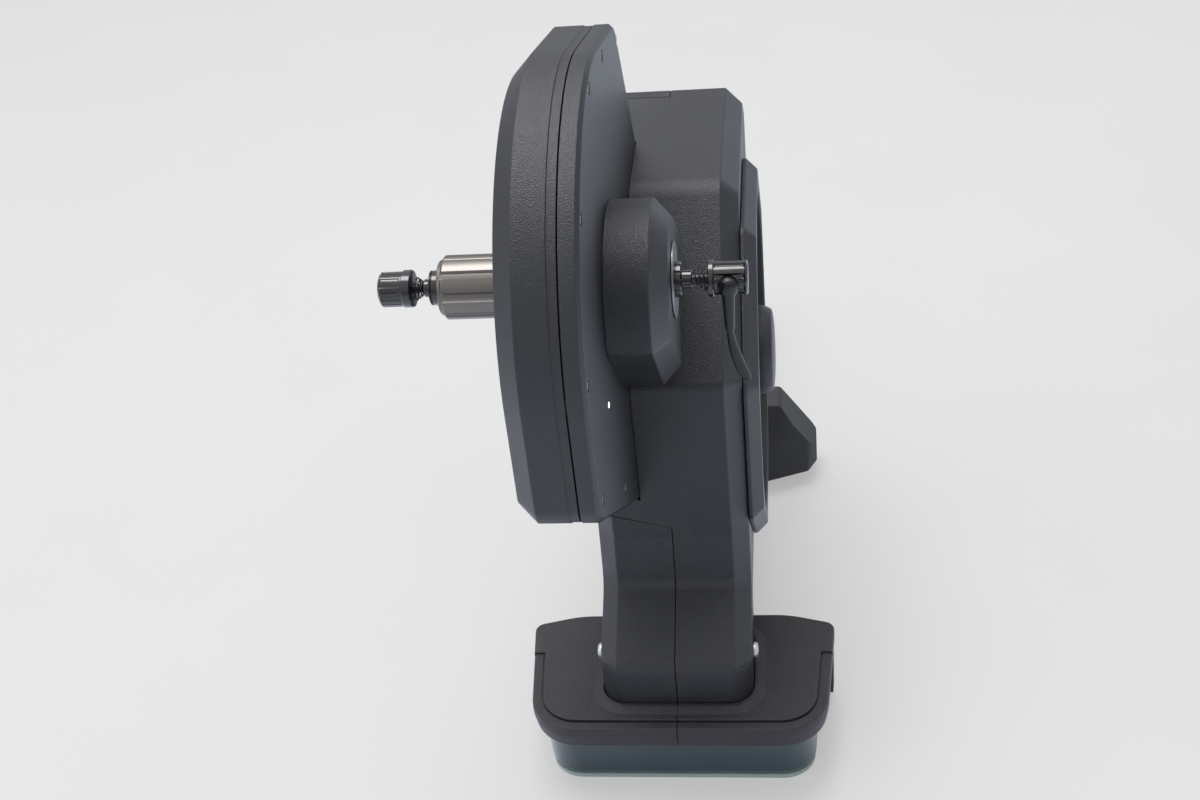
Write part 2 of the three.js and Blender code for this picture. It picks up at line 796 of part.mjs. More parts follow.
// Flywheel: a heavy cup on the shaft, the brake's poles and coils inside its rim
function buildFlywheel() {
  const hubLeft = flywheelOuter - flywheelHubLength;
  const webRight = flywheelOuter - flywheelWebSet;
  const webLeft = webRight - flywheelWeb;
  const rimInner = flywheelRadius - flywheelRim;
  const ringStep = (rimInner - flywheelHubRadius) / (2 * flywheelRings + 1);
  const face = [];
  for (let i = flywheelRings; i > 0; i -= 1) {
    const outer = flywheelHubRadius + ringStep * 2 * i;
    face.push([outer, webRight], [outer, webRight - flywheelRingDepth]);
    face.push([outer - ringStep, webRight - flywheelRingDepth], [outer - ringStep, webRight]);
  }
  add(flywheelGroup, "flywheel", turned([
    [shaftRadius + gap, hubLeft], [flywheelHubRadius, hubLeft], [flywheelHubRadius, webLeft],
    [rimInner, webLeft], [rimInner, flywheelInner],
    [flywheelRadius - flywheelRingDepth, flywheelInner], [flywheelRadius, flywheelInner + flywheelRingDepth],
    [flywheelRadius, flywheelOuter - 2 * flywheelRingDepth],
    [flywheelRadius - 2 * flywheelRingDepth, flywheelOuter], [rimInner, flywheelOuter], [rimInner, webRight],
    ...face, [flywheelHubRadius, webRight], [flywheelHubRadius, flywheelOuter],
    [shaftRadius + gap, flywheelOuter], [shaftRadius + gap, hubLeft],
  ], 28), blackSteel);
  const capBase = flywheelOuter + gap;
  add(flywheelGroup, "flywheel_cap", turned([
    [0, capBase + capDomeRim], [shaftRadius + 2 * gap, capBase + capDomeRim],
    [shaftRadius + 2 * gap, capBase],
    [capDomeRadius, capBase], [capDomeRadius, capBase + capDomeHeight - capDomeRim],
    [capDomeRadius - capDomeRim / 3, capBase + capDomeHeight - capDomeRim / 3],
    [capDomeRadius - capDomeRim, capBase + capDomeHeight], [0, capBase + capDomeHeight + gap],
  ], 24), blackPlastic);
  const shaft = disc(shaftRadius, beltLeft - gap, capBase + capDomeRim - gap, 24);
  add(flywheelGroup, "flywheel_shaft", shaft, brightSteel);
  add(flywheelGroup, "small_pulley", tube(
    shaftRadius + gap, smallPulleyRadius, beltLeft, coverSeam + gap, 20,
  ), greyAlloy);
  const places = { inner: coverInnerFace + gap, outer: hubLeft - gap - shaftBearingLength };
  for (const [place, start] of Object.entries(places)) {
    add(flywheelGroup, `shaft_bearing_${place}`, tube(
      shaftRadius + gap, shaftBearingRadius - gap, start + gap, start + shaftBearingLength - gap, 16,
    ), brightSteel);
  }
  const coreLeft = flywheelInner + overrun;
  const coreRight = coreLeft + brakeWidth;
  const poleReach = rimInner - brakeGap;
  const poles = around(brakePoles, () => block(
    [coreLeft, -brakePoleWidth / 2, 0], [coreRight, brakePoleWidth / 2, poleReach - overrun],
  ));
  const shoes = around(brakePoles, () => block(
    [coreLeft, -brakePoleWidth, poleReach - 2 * overrun], [coreRight, brakePoleWidth, poleReach - overrun],
  ));
  const coilStart = poleReach - 2 * overrun - coilLength;
  const coils = around(brakePoles, () => block(
    [coreLeft - coilThickness / 2, -brakePoleWidth / 2 - coilThickness, coilStart],
    [coreRight + coilThickness / 2, brakePoleWidth / 2 + coilThickness, coilStart + coilLength],
  ));
  const core = join(disc(brakeCoreRadius, coreLeft, coreRight, 32), ...poles, ...shoes, ...coils);
  add(flywheelGroup, "brake_stator", cut(
    core, disc(shaftEyeRadius + gap, coreLeft - overrun, coreRight + overrun, 32),
  ), copper);
}

// Body outline in side view about the axle: housing round the flywheel, then the neck and its toe
const housingCorners = housingShares.map(([back, up, radius]) => [
  flywheelBack + back * housingRadius, up * housingRadius - flywheelDrop, radius * housingRadius,
]);
const bodyCorners = [
  ...housingCorners.slice(1),
  [toeBack, housingFloor, neckFillet],
  [toeBack, neckBottom - axleHeight, 0],
  [toeFront, neckBottom - axleHeight, 0],
  [toeFront, toeHeight - axleHeight, neckFillet],
  [neckFront - neckFillet / 2, instep, neckFillet],
  [neckFront, knee, 2 * neckFillet],
  [neckFront, slopeFoot, neckFillet],
  housingCorners[0],
];

// Nose of the housing round the axle, running back into the sloped front
function nose(radius, back) {
  const along = [Math.cos(bossTilt), -Math.sin(bossTilt)];
  const across = [Math.sin(bossTilt), Math.cos(bossTilt)];
  const corner = (run, side, round) => [
    along[0] * run + across[0] * (side - bossSink), along[1] * run + across[1] * (side - bossSink), round,
  ];
  return outline([
    corner(-radius, -radius, radius - leastFillet), corner(back, -radius, leastFillet),
    corner(back, radius, leastFillet), corner(-radius, radius, radius - leastFillet),
  ], 0, noseSteps);
}

function noseBody(thinner, left, back = bossBack) {
  return loft([
    { at: left, points: nose(bossRadius - thinner, back) },
    { at: bossShoulder - thinner / 2, points: nose(bossRadius - thinner, back) },
    { at: bossFace - thinner, points: nose(bossRadius - bossFaceInset - thinner, bossFaceBack) },
  ], sideways);
}

function buildBody() {
  const seamUp = seamHeight - axleHeight;
  const flat = bodyHalfWidth - bodyBevel;
  const reach = 2 * axleHeight;
  const upperLeft = coverInnerFace + gap;
  const fullSide = (left, right, inset) => sideBody(bodyCorners, [[left, inset], [right, inset]]);
  const room = sideBody(bodyCorners, [
    [-bodyHalfWidth + bodyWall, bodyBevel + bodyWall], [-flat + bodyWall / 2, bodyWall],
    [flat - bodyWall / 2, bodyWall], [bodyHalfWidth - bodyWall, bodyBevel + bodyWall],
  ]);
  const wide = sideBody(bodyCorners, [
    [-bodyHalfWidth, bodyBevel], [-flat, 0], [flat, 0], [bodyHalfWidth, bodyBevel],
  ]);
  const coverZone = sideBody(coverCorners, [[-reach, -gap], [upperLeft, -gap]]);
  const aboveSeam = (lift) => loft([-reach, reach].map((at) => ({
    at,
    points: outline([
      [0, seamUp + lift, 0], [reach, seamUp + lift, 0], [reach, reach, 0], [-reach, reach, 0],
      [-reach, seamUp + lift + seamSlopeShare * reach, 0],
    ]),
  })), rearwards);
  const wrap = block([-reach, -reach, -reach], [upperLeft + overrun, neckWrap, reach]);
  const upperRight = block([upperLeft, -reach, -reach], [gap, seamBack, reach]);
  const upperZone = common(join(upperRight, cut(wrap, coverZone)), aboveSeam(0));
  const rightZone = block([gap / 2, -reach, -reach], [reach, reach, reach]);
  const flywheelHole = moved(
    disc(shroudBore, flat, bodyHalfWidth + overrun, 40), 0, flywheelBack, -flywheelDrop,
  );
  const axleHole = disc(axleRadius + gap, 0, bossFace + overrun, 24);
  const railSlot = block(
    [-railHalfWidth - gap, toeBack - 2 * bodyWall, -reach],
    [railHalfWidth + gap, reach, railTop + gap - axleHeight],
  );
  const bottomOpening = block(
    [-flat, toeFront + bodyWall + bodyBevel, -reach],
    [flat, toeBack - bodyWall, toeHeight - bodyBevel - axleHeight],
  );
  const strutSlot = block(
    [-postHalfWidth - gap, strutBack - strutDepth - gap, -reach],
    [postHalfWidth + gap, strutBack + gap, housingFloor + 3 * bodyWall],
  );
  const screwHole = moved(
    disc(neckScrewRadius / 2 + gap, -reach, reach, 12), 0, neckScrewBack, neckScrewHeight - axleHeight,
  );
  const skin = cut(wide, room);
  const right = join(common(skin, rightZone), common(skin, upperZone));
  const boss = cut(noseBody(0, upperLeft), noseBody(bodyWall, upperLeft - overrun));
  const bossOutside = cut(boss, sideBody(bodyCorners, [[-reach, bodyWall / 2], [reach, bodyWall / 2]]));
  const noseRoom = noseBody(bodyWall, upperLeft - overrun, bossBack + postDepth);
  add(axleGroup, "body_shell_right", mainBody(cut(
    join(cut(right, noseRoom), bossOutside),
    flywheelHole, axleHole, railSlot, bottomOpening, strutSlot, screwHole,
  )), blackPlastic);

  const leftZone = block([-reach, -reach, -reach], [-gap / 2, reach, reach]);
  const upperCut = common(join(
    block([upperLeft - 2 * gap, -reach, -reach], [reach, seamBack + gap, reach]),
    block([-reach, -reach, -reach], [reach, neckWrap + gap, reach]),
  ), aboveSeam(-gap));
  const backing = fullSide(-bodyHalfWidth, upperLeft, 0);
  const inletHole = block(
    [inletAcross - inletRadius - gap, flywheelBack, inletHeight - axleHeight - inletRadius - gap],
    [inletAcross + inletRadius + gap, reach, inletHeight - axleHeight + inletRadius + gap],
  );
  add(axleGroup, "body_shell_left", cut(
    common(skin, leftZone, join(backing, block([upperLeft - gap, -reach, -reach], [0, reach, reach]))),
    coverZone, upperCut, railSlot, bottomOpening, strutSlot, screwHole, inletHole,
  ), blackPlastic);

  const apothem = shroudRadius / Math.cos(Math.PI / 8);
  const octagon = Array.from({ length: 8 }, (_, i) => {
    const angle = (Math.PI / 4) * (i + 0.5);
    const across = flywheelBack + apothem * Math.cos(angle);
    return [across, apothem * Math.sin(angle) - flywheelDrop, shroudBevel + bodyWall];
  });
  const ring = sideBody(octagon, [
    [bodyHalfWidth + gap, bodyWall], [bodyHalfWidth + bodyWall, 0],
    [bodyHalfWidth + bodyWall + gap, 0], [bodyHalfWidth + shroudProud, shroudBevel],
  ]);
  add(axleGroup, "flywheel_shroud", cut(ring, moved(
    disc(shroudBore, bodyHalfWidth - overrun, bodyHalfWidth + 2 * shroudProud, 40),
    0, flywheelBack, -flywheelDrop,
  )), blackPlastic);

  for (const [side, hand] of [["right", 1], ["left", -1]]) {
    const screw = turned([
      [0, -screwLength], [neckScrewRadius / 2, -screwLength], [neckScrewRadius / 2, 0],
      [neckScrewRadius, 0], [neckScrewRadius * taperShare, neckScrewDome * taperShare], [0, neckScrewDome],
    ], 12);
    const mesh = add(axleGroup, `neck_screw_${side}`, screw, brightSteel);
    mesh.position.set(hand * (bodyHalfWidth + gap), neckScrewBack, neckScrewHeight - axleHeight);
    mesh.rotation.z = hand > 0 ? 0 : Math.PI;
  }
}

// Main frame: one steel weldment of plate, eyes, post, rail, strut and the leg bracket
function buildFrame() {
  const level = (height) => height - axleHeight;
  const distance = Math.hypot(flywheelBack, flywheelDrop);
  const along = [flywheelBack / distance, -flywheelDrop / distance];
  const side = (run, off, round) => [
    along[0] * run - along[1] * off, along[1] * run + along[0] * off, round,
  ];
  const length = distance + plateHalfHeight;
  const plate = sideBody([
    side(-plateHalfHeight, -plateHalfHeight, plateHalfHeight - leastFillet),
    side(length, -plateHalfHeight, plateHalfHeight - leastFillet),
    side(length, plateHalfHeight, plateHalfHeight - leastFillet),
    side(-plateHalfHeight, plateHalfHeight, plateHalfHeight - leastFillet),
  ], [[plateLeft, 0], [plateRight, 0]]);
  const axleEye = disc(axleEyeRadius, plateLeft, bossFace - 2 * bodyWall);
  const shaftEye = moved(
    disc(shaftEyeRadius, coverInnerFace + gap, flywheelOuter - flywheelHubLength - 2 * gap),
    0, flywheelBack, -flywheelDrop,
  );
  const postBack = neckFront + bodyWall + postDepth;
  const postLean = toeBack - 2 * bodyWall;
  const reach = 2 * axleHeight;
  const inside = (left, right) => sideBody(bodyCorners, [[left, postInset], [right, postInset]]);
  const upperPost = common(
    inside(plateLeft, postRight),
    block([plateLeft, -reach, instep], [postRight, postBack, slopeFoot - postDepth]),
  );
  const lowerPost = common(
    inside(-postHalfWidth, postHalfWidth),
    block(
      [-postHalfWidth, postFront, level(toeHeight) - postInset],
      [postHalfWidth, postBack, knee - postInset],
    ),
  );
  const postFoot = block(
    [-postHalfWidth, postFront, level(baseTop + gap)], [postHalfWidth, postLean, level(toeHeight)],
  );
  const railEnd = legPinBack - bracketRadius;
  const rail = block(
    [-railHalfWidth, postLean - gap, level(railBottom)], [railHalfWidth, railEnd, level(railTop)],
  );
  const railRoom = block(
    [-railHalfWidth + railWall, postLean + railWall, level(railBottom) + railWall],
    [railHalfWidth - railWall, railEnd - railWall, level(railTop) - railWall],
  );
  const drain = moved(upright(
    disc(railWall, level(railBottom) - overrun, level(railBottom) + 2 * railWall, 12),
  ), 0, strutBack, 0);
  const strutFoot = block(
    [-postHalfWidth, strutBack - strutDepth, level(railTop) - gap],
    [postHalfWidth, strutBack, housingFloor + 3 * bodyWall],
  );
  const strut = sideBody([
    [flywheelBack - strutDepth / 2, -flywheelDrop, 0], [flywheelBack + strutDepth, -flywheelDrop, 0],
    [strutBack, housingFloor + 2 * bodyWall, 0], [strutBack - strutDepth, housingFloor + 2 * bodyWall, 0],
  ], [[plateLeft, 0], [plateRight, 0]]);
  const lug = (bottom) => plan([
    [-legPinAcross - bracketRadius, legPinBack - bracketRadius, bracketRadius - leastFillet],
    [legPinAcross + bracketRadius, legPinBack - bracketRadius, bracketRadius - leastFillet],
    [legPinAcross + bracketRadius, legPinBack + bracketRadius, bracketRadius - leastFillet],
    [-legPinAcross - bracketRadius, legPinBack + bracketRadius, bracketRadius - leastFillet],
  ], [[level(bottom), 0], [level(bottom + bracketThickness), 0]]);
  const web = block(
    [-legPinAcross + knuckleRadius + 2 * legPinClearance, legPinBack - bracketRadius, level(bracketBottom)],
    [legPinAcross - knuckleRadius - 2 * legPinClearance, legPinBack, level(bracketTop)],
  );
  const pinHoles = [-1, 1].map((hand) => moved(
    upright(disc(legPinRadius + legPinClearance, level(0), level(2 * bracketTop), 14)),
    hand * legPinAcross, legPinBack, 0,
  ));
  const cheek = moved(cheekShape(), 0, 0, level(0));
  const steel = join(
    plate, axleEye, shaftEye, upperPost, lowerPost, postFoot, cut(rail, railRoom), strutFoot, strut,
    lug(bracketBottom), lug(bracketTop - bracketThickness), web, cheek, mirrored(cheek),
  );
  add(axleGroup, "main_frame", cut(
    steel, drain, ...pinHoles,
    disc(axleRadius + gap, plateLeft - overrun, bossFace + overrun, 24),
    moved(disc(shaftBearingRadius, coverInnerFace, flywheelOuter, 24), 0, flywheelBack, -flywheelDrop),
  ), blackSteel);
}

// Leg in plan, folded back along the rail
const legCorners = [
  [legInner, legPinBack + knuckleRadius * legRootShare, legBevel], [legPinAcross, legPinBack, leastFillet],
  [legPinAcross + knuckleRadius, legPinBack, legBevel],
  [legOuter + legBevel, legPinBack + 2 * knuckleRadius, knuckleRadius],
  [legOuter, legTip, legTipRound], [legInner, legTip, legTipRound],
];

// A wedge of the bracket beside each knuckle, with room behind it for the leg when it is out
function cheekShape() {
  const inner = legPinAcross + legPinRadius + 2 * pinHeadProud;
  const ring = (front, cornerFront, outerFront) => outline([
    [inner, front, 0], [cheekCorner, cornerFront, legBevel], [cheekOuter, outerFront, legBevel],
    [cheekOuter, cheekBack, legBevel], [inner, cheekBack, 0],
  ], 0, 3);
  const wedge = loft([
    { at: cheekBottom, points: ring(cheekFootFront, cheekCornerFront, cheekOuterFront) },
    { at: cheekTop, points: ring(cheekTopFront, cheekTopFront, cheekOuterFront + legBevel) },
  ], upwards);
  const slope = loft([cheekFootFront - overrun, cheekBack + overrun].map((at) => ({
    at,
    points: outline([
      [0, 0, 0], [2 * cheekOuter, 0, 0], [2 * cheekOuter, cheekOuterHeight, 0],
      [cheekOuter, cheekOuterHeight, legBevel], [cheekTopOuter, cheekTop, legBevel], [0, cheekTop, 0],
    ]),
  })), rearwards);
  const pin = new THREE.Vector2(legPinAcross, legPinBack);
  const swung = legCorners.map(([across, back, round]) => {
    const place = new THREE.Vector2(across, back).rotateAround(pin, -legSwing);
    return [place.x, place.y, round];
  });
  const [low, high] = [knuckleBottom - gap, knuckleTop + gap];
  const legRoom = plan(swung, [[low, -cheekGap], [high, -cheekGap]]);
  const knuckleRoom = moved(upright(disc(knuckleRadius + cheekGap, low, high)), legPinAcross, legPinBack, 0);
  return cut(common(wedge, slope), legRoom, knuckleRoom);
}

// Front foot: painted steel base on a rubber sole, under a moulded cover in two halves
function buildFrontFoot() {
  const baseCorners = [
    [-baseHalfWidth, baseFront, baseFrontCorner], [baseHalfWidth, baseFront, baseFrontCorner],
    [baseHalfWidth, baseBack, baseBackCorner], [-baseHalfWidth, baseBack, baseBackCorner],
  ];
  const base = cut(
    plan(baseCorners, [[soleThickness + gap, soleInset], [soleThickness + baseWall, 0], [baseTop, 0]]),
    plan(baseCorners, [[0, baseWall], [baseTop - baseWall, baseWall]]),
  );
  add(trainer, "base_plate", base, petrolSteel);
  const sole = plan(baseCorners, [[0, 2 * soleInset], [soleThickness, soleInset]]);
  add(trainer, "rubber_sole", sole, paleRubber);

  const footCorners = [
    [-footFrontHalfWidth, footFront, footFrontCorner], [footFrontHalfWidth, footFront, footFrontCorner],
    [footSideHalfWidth, footSideBack, footSideCorner], [footBackHalfWidth, footBack, footBackCorner],
    [-footBackHalfWidth, footBack, footBackCorner], [-footSideHalfWidth, footSideBack, footSideCorner],
  ];
  const collar = (wider) => {
    const half = bodyHalfWidth + wider;
    const round = bodyBevel + wider;
    return [
      [-half, toeFront - wider, round], [half, toeFront - wider, round],
      [half, toeBack + wider, round], [-half, toeBack + wider, round],
    ];
  };
  const bottom = baseTop + gap;
  const top = plan(footCorners, [[bottom, 0], [footTop - footEdge, 0], [footTop, footEdge]]);
  const panel = plan(footCorners, [
    [footTop - footEdge, footPanelInset], [footTop + footPanelRise / 2, footPanelInset],
    [footTop + footPanelRise, footPanelInset + footPanelRise / 2],
  ]);
  const behind = (back) => block([-axleHeight, back, 0], [axleHeight, axleHeight, axleHeight]);
  const shoulder = common(behind(footPanelBack), plan(footCorners, [
    [footTop - footEdge, 0], [footTop + footPanelRise - footEdge, 0], [footTop + footPanelRise, footEdge],
  ]));
  const rim = common(
    plan(collar(collarGap + collarWidth), [
      [footTop - footEdge, 0], [footTop + footPanelRise, 0],
      [footTop + collarRise, collarWidth - collarTopWidth],
    ]),
    plan(footCorners, [[0, footEdge], [axleHeight, footEdge]]),
  );
  const skirt = common(
    cut(
      plan(footCorners, [[skirtBottom, 0], [bottom + gap, 0]]),
      plan(footCorners, [[skirtBottom - overrun, footWall], [bottom + overrun, footWall]]),
    ),
    behind(footSideBack - skirtReach),
  );
  const room = plan(footCorners, [[0, footWall], [footTop - footWall, footWall]]);
  const neckHole = plan(collar(collarGap), [[0, 0], [axleHeight, 0]]);
  const railSlot = block(
    [-railHalfWidth - gap, toeFront, railBottom - gap], [railHalfWidth + gap, axleHeight, railTop + gap],
  );
  const cover = cut(join(cut(join(top, panel, shoulder, rim), room), skirt), neckHole, railSlot);
  const half = block([gap / 2, -axleHeight, 0], [axleHeight, axleHeight, axleHeight]);
  const rightHalf = common(cover, half);
  add(trainer, "foot_cover_right", rightHalf, blackPlastic);
  add(trainer, "foot_cover_left", mirrored(rightHalf), blackPlastic);
}

// Rear legs: a long arm on a knuckle that turns on its pin
function legShape() {
  const arm = common(
    plan(legCorners, [[knuckleBottom, 0], [knuckleTop, 0]]),
    sideBody([
      [legPinBack, knuckleBottom, 0], [legTip + legBevel, knuckleBottom, 0],
      [legTip + legBevel, legTipTop, legBevel], [legPinBack + 2 * knuckleRadius, legTop, legBevel],
      [legPinBack, legTop, 0],
    ], [
      [legInner - gap, legBevel], [legInner + legBevel, 0], [legOuter - gap, 0],
      [legOuter + 2 * legBevel, legBevel],
    ]),
  );
  const atPin = (radius, low, high, sides) => moved(
    upright(disc(radius, low, high, sides)), legPinAcross, legPinBack, 0,
  );
  const bore = atPin(legPinRadius + legPinClearance, 0, 2 * knuckleTop, 14);
  const studBore = moved(
    upright(disc(studRadius + legPinClearance, 0, legTop, 16)), footDiscAcross, legTip - footDiscInset, 0,
  );
  return cut(join(arm, atPin(knuckleRadius, knuckleBottom, knuckleTop, 20)), bore, studBore);
}

function buildLegs() {
  const shape = legShape();
  const knobTop = knobBottom + knobHeight;
  for (const [side, hand] of [["right", 1], ["left", -1]]) {
    add(trainer, `leg_${side}`, hand > 0 ? shape : mirrored(shape), blackPlastic);
    const pin = add(trainer, `leg_pin_${side}`, upright(turned([
      [0, bracketBottom - pinHeadProud], [legPinRadius + pinHeadProud, bracketBottom - pinHeadProud],
      [legPinRadius + pinHeadProud, bracketBottom - gap], [legPinRadius, bracketBottom - gap],
      [legPinRadius, bracketTop + gap], [legPinRadius + pinHeadProud, bracketTop + gap],
      [legPinRadius + pinHeadProud, bracketTop + pinHeadProud], [0, bracketTop + pinHeadProud],
    ], 12)), brightSteel);
    pin.position.set(hand * legPinAcross, legPinBack, 0);
    const tip = new THREE.Group();
    tip.position.set(hand * footDiscAcross, legTip - footDiscInset, 0);
    trainer.add(tip);
    add(tip, `level_pad_${side}`, upright(turned([
      [0, 0], [footDiscRadius - 2 * legPinClearance, 0], [footDiscRadius, leastFillet],
      [footDiscRadius * taperShare, padHeight], [0, padHeight],
    ], 16)), blackRubber);
    const stud = disc(studRadius, padHeight + gap, legTipTop - pinHeadProud, 10);
    add(tip, `level_stud_${side}`, upright(stud), brightSteel);
    const knob = cut(
      tube(studRadius + legPinClearance, knobRadius, knobBottom, knobTop, 24),
      ...around(knobRibs, () => moved(
        disc(knobRibDepth, knobBottom - overrun, knobTop + overrun, 5), 0, 0, knobRadius,
      )),
    );
    add(tip, `level_knob_${side}`, upright(knob), blackPlastic);
  }
}

// Electronics: the control board beside the flywheel and the power inlet in the rear wall
function buildElectronics() {
  const low = [0, -boardLength / 2, -boardHeight / 2];
  const parts = [
    block(low, [boardThickness, boardLength / 2, boardHeight / 2]),
    ...boardPartShares.map(([back, up, wide, tall]) => block(
      [boardThickness / 2, low[1] + back * boardLength, low[2] + up * boardHeight],
      [boardPartHeight, low[1] + (back + wide) * boardLength, low[2] + (up + tall) * boardHeight],
    )),
  ];
  const board = add(axleGroup, "control_board", join(...parts), boardGreen);
  board.position.set(plateRight + gap, boardPlaceShare * flywheelBack, -boardPlaceShare * flywheelDrop);
  board.rotation.x = -Math.atan2(flywheelDrop, flywheelBack);
  const socket = tube(inletRadius * inletPinShare, inletRadius, -inletDepth, 0, 20);
  const back = disc(inletRadius, -inletDepth - boardThickness, -inletDepth + gap, 20);
  const inlet = add(trainer, "power_inlet", join(socket, back), glossBlack);
  inlet.rotation.z = Math.PI / 2;
  inlet.position.set(inletAcross, flywheelBack + housingReachShare * housingRadius - gap, inletHeight);
}

buildAxle();
buildSkewer();
buildLever();
buildFreehub();
buildDrivePulley();
buildBelt();
buildBeltCover();
buildFlywheel();
buildBody();
buildFrame();
buildFrontFoot();
buildLegs();
buildElectronics();

export default trainer;
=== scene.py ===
"""Direct drive bike trainer: the looks of every piece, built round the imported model."""

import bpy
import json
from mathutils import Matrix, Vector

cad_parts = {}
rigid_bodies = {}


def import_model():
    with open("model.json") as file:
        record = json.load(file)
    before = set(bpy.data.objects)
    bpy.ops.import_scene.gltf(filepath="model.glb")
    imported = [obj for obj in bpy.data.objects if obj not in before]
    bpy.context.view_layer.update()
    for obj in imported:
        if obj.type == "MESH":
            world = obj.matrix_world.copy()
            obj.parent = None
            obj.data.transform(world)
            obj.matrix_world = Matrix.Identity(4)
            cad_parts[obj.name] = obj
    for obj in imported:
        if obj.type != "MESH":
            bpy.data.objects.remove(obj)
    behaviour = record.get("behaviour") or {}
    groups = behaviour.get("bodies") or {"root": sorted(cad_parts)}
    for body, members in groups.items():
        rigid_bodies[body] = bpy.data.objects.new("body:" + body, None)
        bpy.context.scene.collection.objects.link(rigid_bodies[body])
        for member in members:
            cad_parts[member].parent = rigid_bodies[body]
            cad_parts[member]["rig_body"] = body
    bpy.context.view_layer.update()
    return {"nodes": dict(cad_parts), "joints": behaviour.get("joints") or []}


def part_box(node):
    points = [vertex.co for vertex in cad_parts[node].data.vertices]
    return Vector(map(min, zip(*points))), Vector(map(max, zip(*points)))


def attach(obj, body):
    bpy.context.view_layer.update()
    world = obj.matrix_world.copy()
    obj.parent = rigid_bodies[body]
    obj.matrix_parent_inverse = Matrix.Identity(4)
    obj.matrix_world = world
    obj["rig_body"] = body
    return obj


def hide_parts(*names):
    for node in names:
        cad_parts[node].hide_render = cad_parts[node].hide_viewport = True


bl_info = {
    "name": "Direct Drive Bike Trainer",
    "version": (1, 0, 0),
    "blender": (4, 5, 0),
    "location": "View3D > Sidebar > Trainer",
    "description": "Builds the visible pieces, finishes and stage of a direct drive bike trainer",
    "category": "Add Mesh",
}

import json
import math
from math import cos, pi, radians, sin, tan

import bmesh
import bpy
from bpy.props import FloatProperty, FloatVectorProperty, IntProperty, PointerProperty
from bpy.types import NodeSocket, Operator, Panel, PropertyGroup
from mathutils import Matrix, Vector

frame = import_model()

MM = 0.001
FAR = 1.0
WELD = 0.001 * MM
CLEARANCE = 0.3 * MM
LEAST_FILLET = 0.6 * MM
FULL_SHARE = 0.97
SIDES = (("right", 1), ("left", -1))


def joint_place(name):
    """Where a joint's axis lies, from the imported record."""
    return Vector(next(joint["pos_m"] for joint in frame["joints"] if joint["name"] == name))


AXLE = joint_place("pulley_spin")
WHEEL = joint_place("flywheel_spin")
LEG_PIN = joint_place("right_leg_fold")


def axle_line(back=0.0, up=0.0):
    """A point beside the axle, for bodies turned along X."""
    return Vector((0, AXLE.y + back, AXLE.z + up))


def wheel_line():
    return Vector((0, WHEEL.y, WHEEL.z))


def node_line(node):
    """The middle of a node in side view."""
    low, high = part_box(node)
    return Vector((0, (low.y + high.y) / 2, (low.z + high.z) / 2))


# Outlines and profiles

def cross(a, b):
    return a.x * b.y - a.y * b.x


def turned_about(point, middle, angle):
    away = point - middle
    return middle + Vector((
        away.x * cos(angle) - away.y * sin(angle), away.x * sin(angle) + away.y * cos(angle),
    ))


def outline(corners, inset, fineness):
    """A closed outline through corners (across, up, radius), moved inwards by inset."""
    count = len(corners)
    points = [Vector(corner[:2]) for corner in corners]
    hand = 1 if sum(cross(points[i - 1], points[i]) for i in range(count)) > 0 else -1
    edges = []
    for i, point in enumerate(points):
        along = (points[(i + 1) % count] - point).normalized()
        edges.append((point + Vector((-along.y, along.x)) * inset * hand, along))
    bends = []
    for i, (_, _, named) in enumerate(corners):
        (before, before_along), (after, after_along) = edges[i - 1], edges[i]
        turn = cross(before_along, after_along)
        reach = cross(after - before, after_along) / turn
        radius = max(named - inset if turn * hand > 0 else named + inset, LEAST_FILLET)
        angle = math.atan2(turn, before_along.dot(after_along))
        bends.append((before + before_along * reach, radius, angle, before_along, named))
    backs = [radius * abs(tan(angle / 2)) for _, radius, angle, _, _ in bends]
    room = []
    for i in range(count):
        j = (i + 1) % count
        distance = (bends[i][0] - bends[j][0]).length
        room.append(min(1.0, FULL_SHARE * distance / (backs[i] + backs[j])))
    ring = []
    for i, (corner, radius, angle, along, named) in enumerate(bends):
        if named == 0:
            ring.append(corner)
            continue
        share = min(room[i], room[i - 1])
        steps = max(3, round(abs(angle) * math.sqrt(named / MM) * fineness))
        first = corner - along * backs[i] * share
        inward = Vector((-along.y, along.x)) * (1 if angle > 0 else -1)
        middle = first + inward * radius * share
        ring += [turned_about(first, middle, angle * k / steps) for k in range(steps + 1)]
    return ring


def soften(profile, radius, steps=4):
    """Rounds the inner corners of an open profile of (place, height) points."""
    points = [Vector(point) for point in profile]
    soft = [points[0]]
    for before, here, after in zip(points, points[1:], points[2:]):
        back_way, on_way = (before - here), (after - here)
        room = min(back_way.length, on_way.length) * 0.48
        back_way.normalize()
        on_way.normalize()
        half = back_way.angle(on_way) / 2
        if half > radians(88) or half < radians(2):
            soft.append(here)
            continue
        back = min(radius / tan(half), room)
        middle = here + (back_way + on_way).normalized() * (back / cos(half))
        first = here + back_way * back
        sweep = (pi - 2 * half) * (1 if cross(-back_way, on_way) > 0 else -1)
        soft += [turned_about(first, middle, sweep * k / steps) for k in range(steps + 1)]
    soft.append(points[-1])
    return [(point.x, point.y) for point in soft]


def offsets(at, height, *rows):
    """Profile points given in millimetres from a place and a height or radius."""
    return [(at + along * MM, height + out * MM, *flute) for along, out, *flute in rows]


# Meshes

def mesh_object(name, mesh_data):
    """Turns a bmesh into an object in the scene."""
    bmesh.ops.remove_doubles(mesh_data, verts=mesh_data.verts, dist=WELD)
    bmesh.ops.recalc_face_normals(mesh_data, faces=mesh_data.faces)
    mesh = bpy.data.meshes.new(name)
    mesh_data.to_mesh(mesh)
    mesh_data.free()
    made = bpy.data.objects.new(name, mesh)
    bpy.context.scene.collection.objects.link(made)
    return made


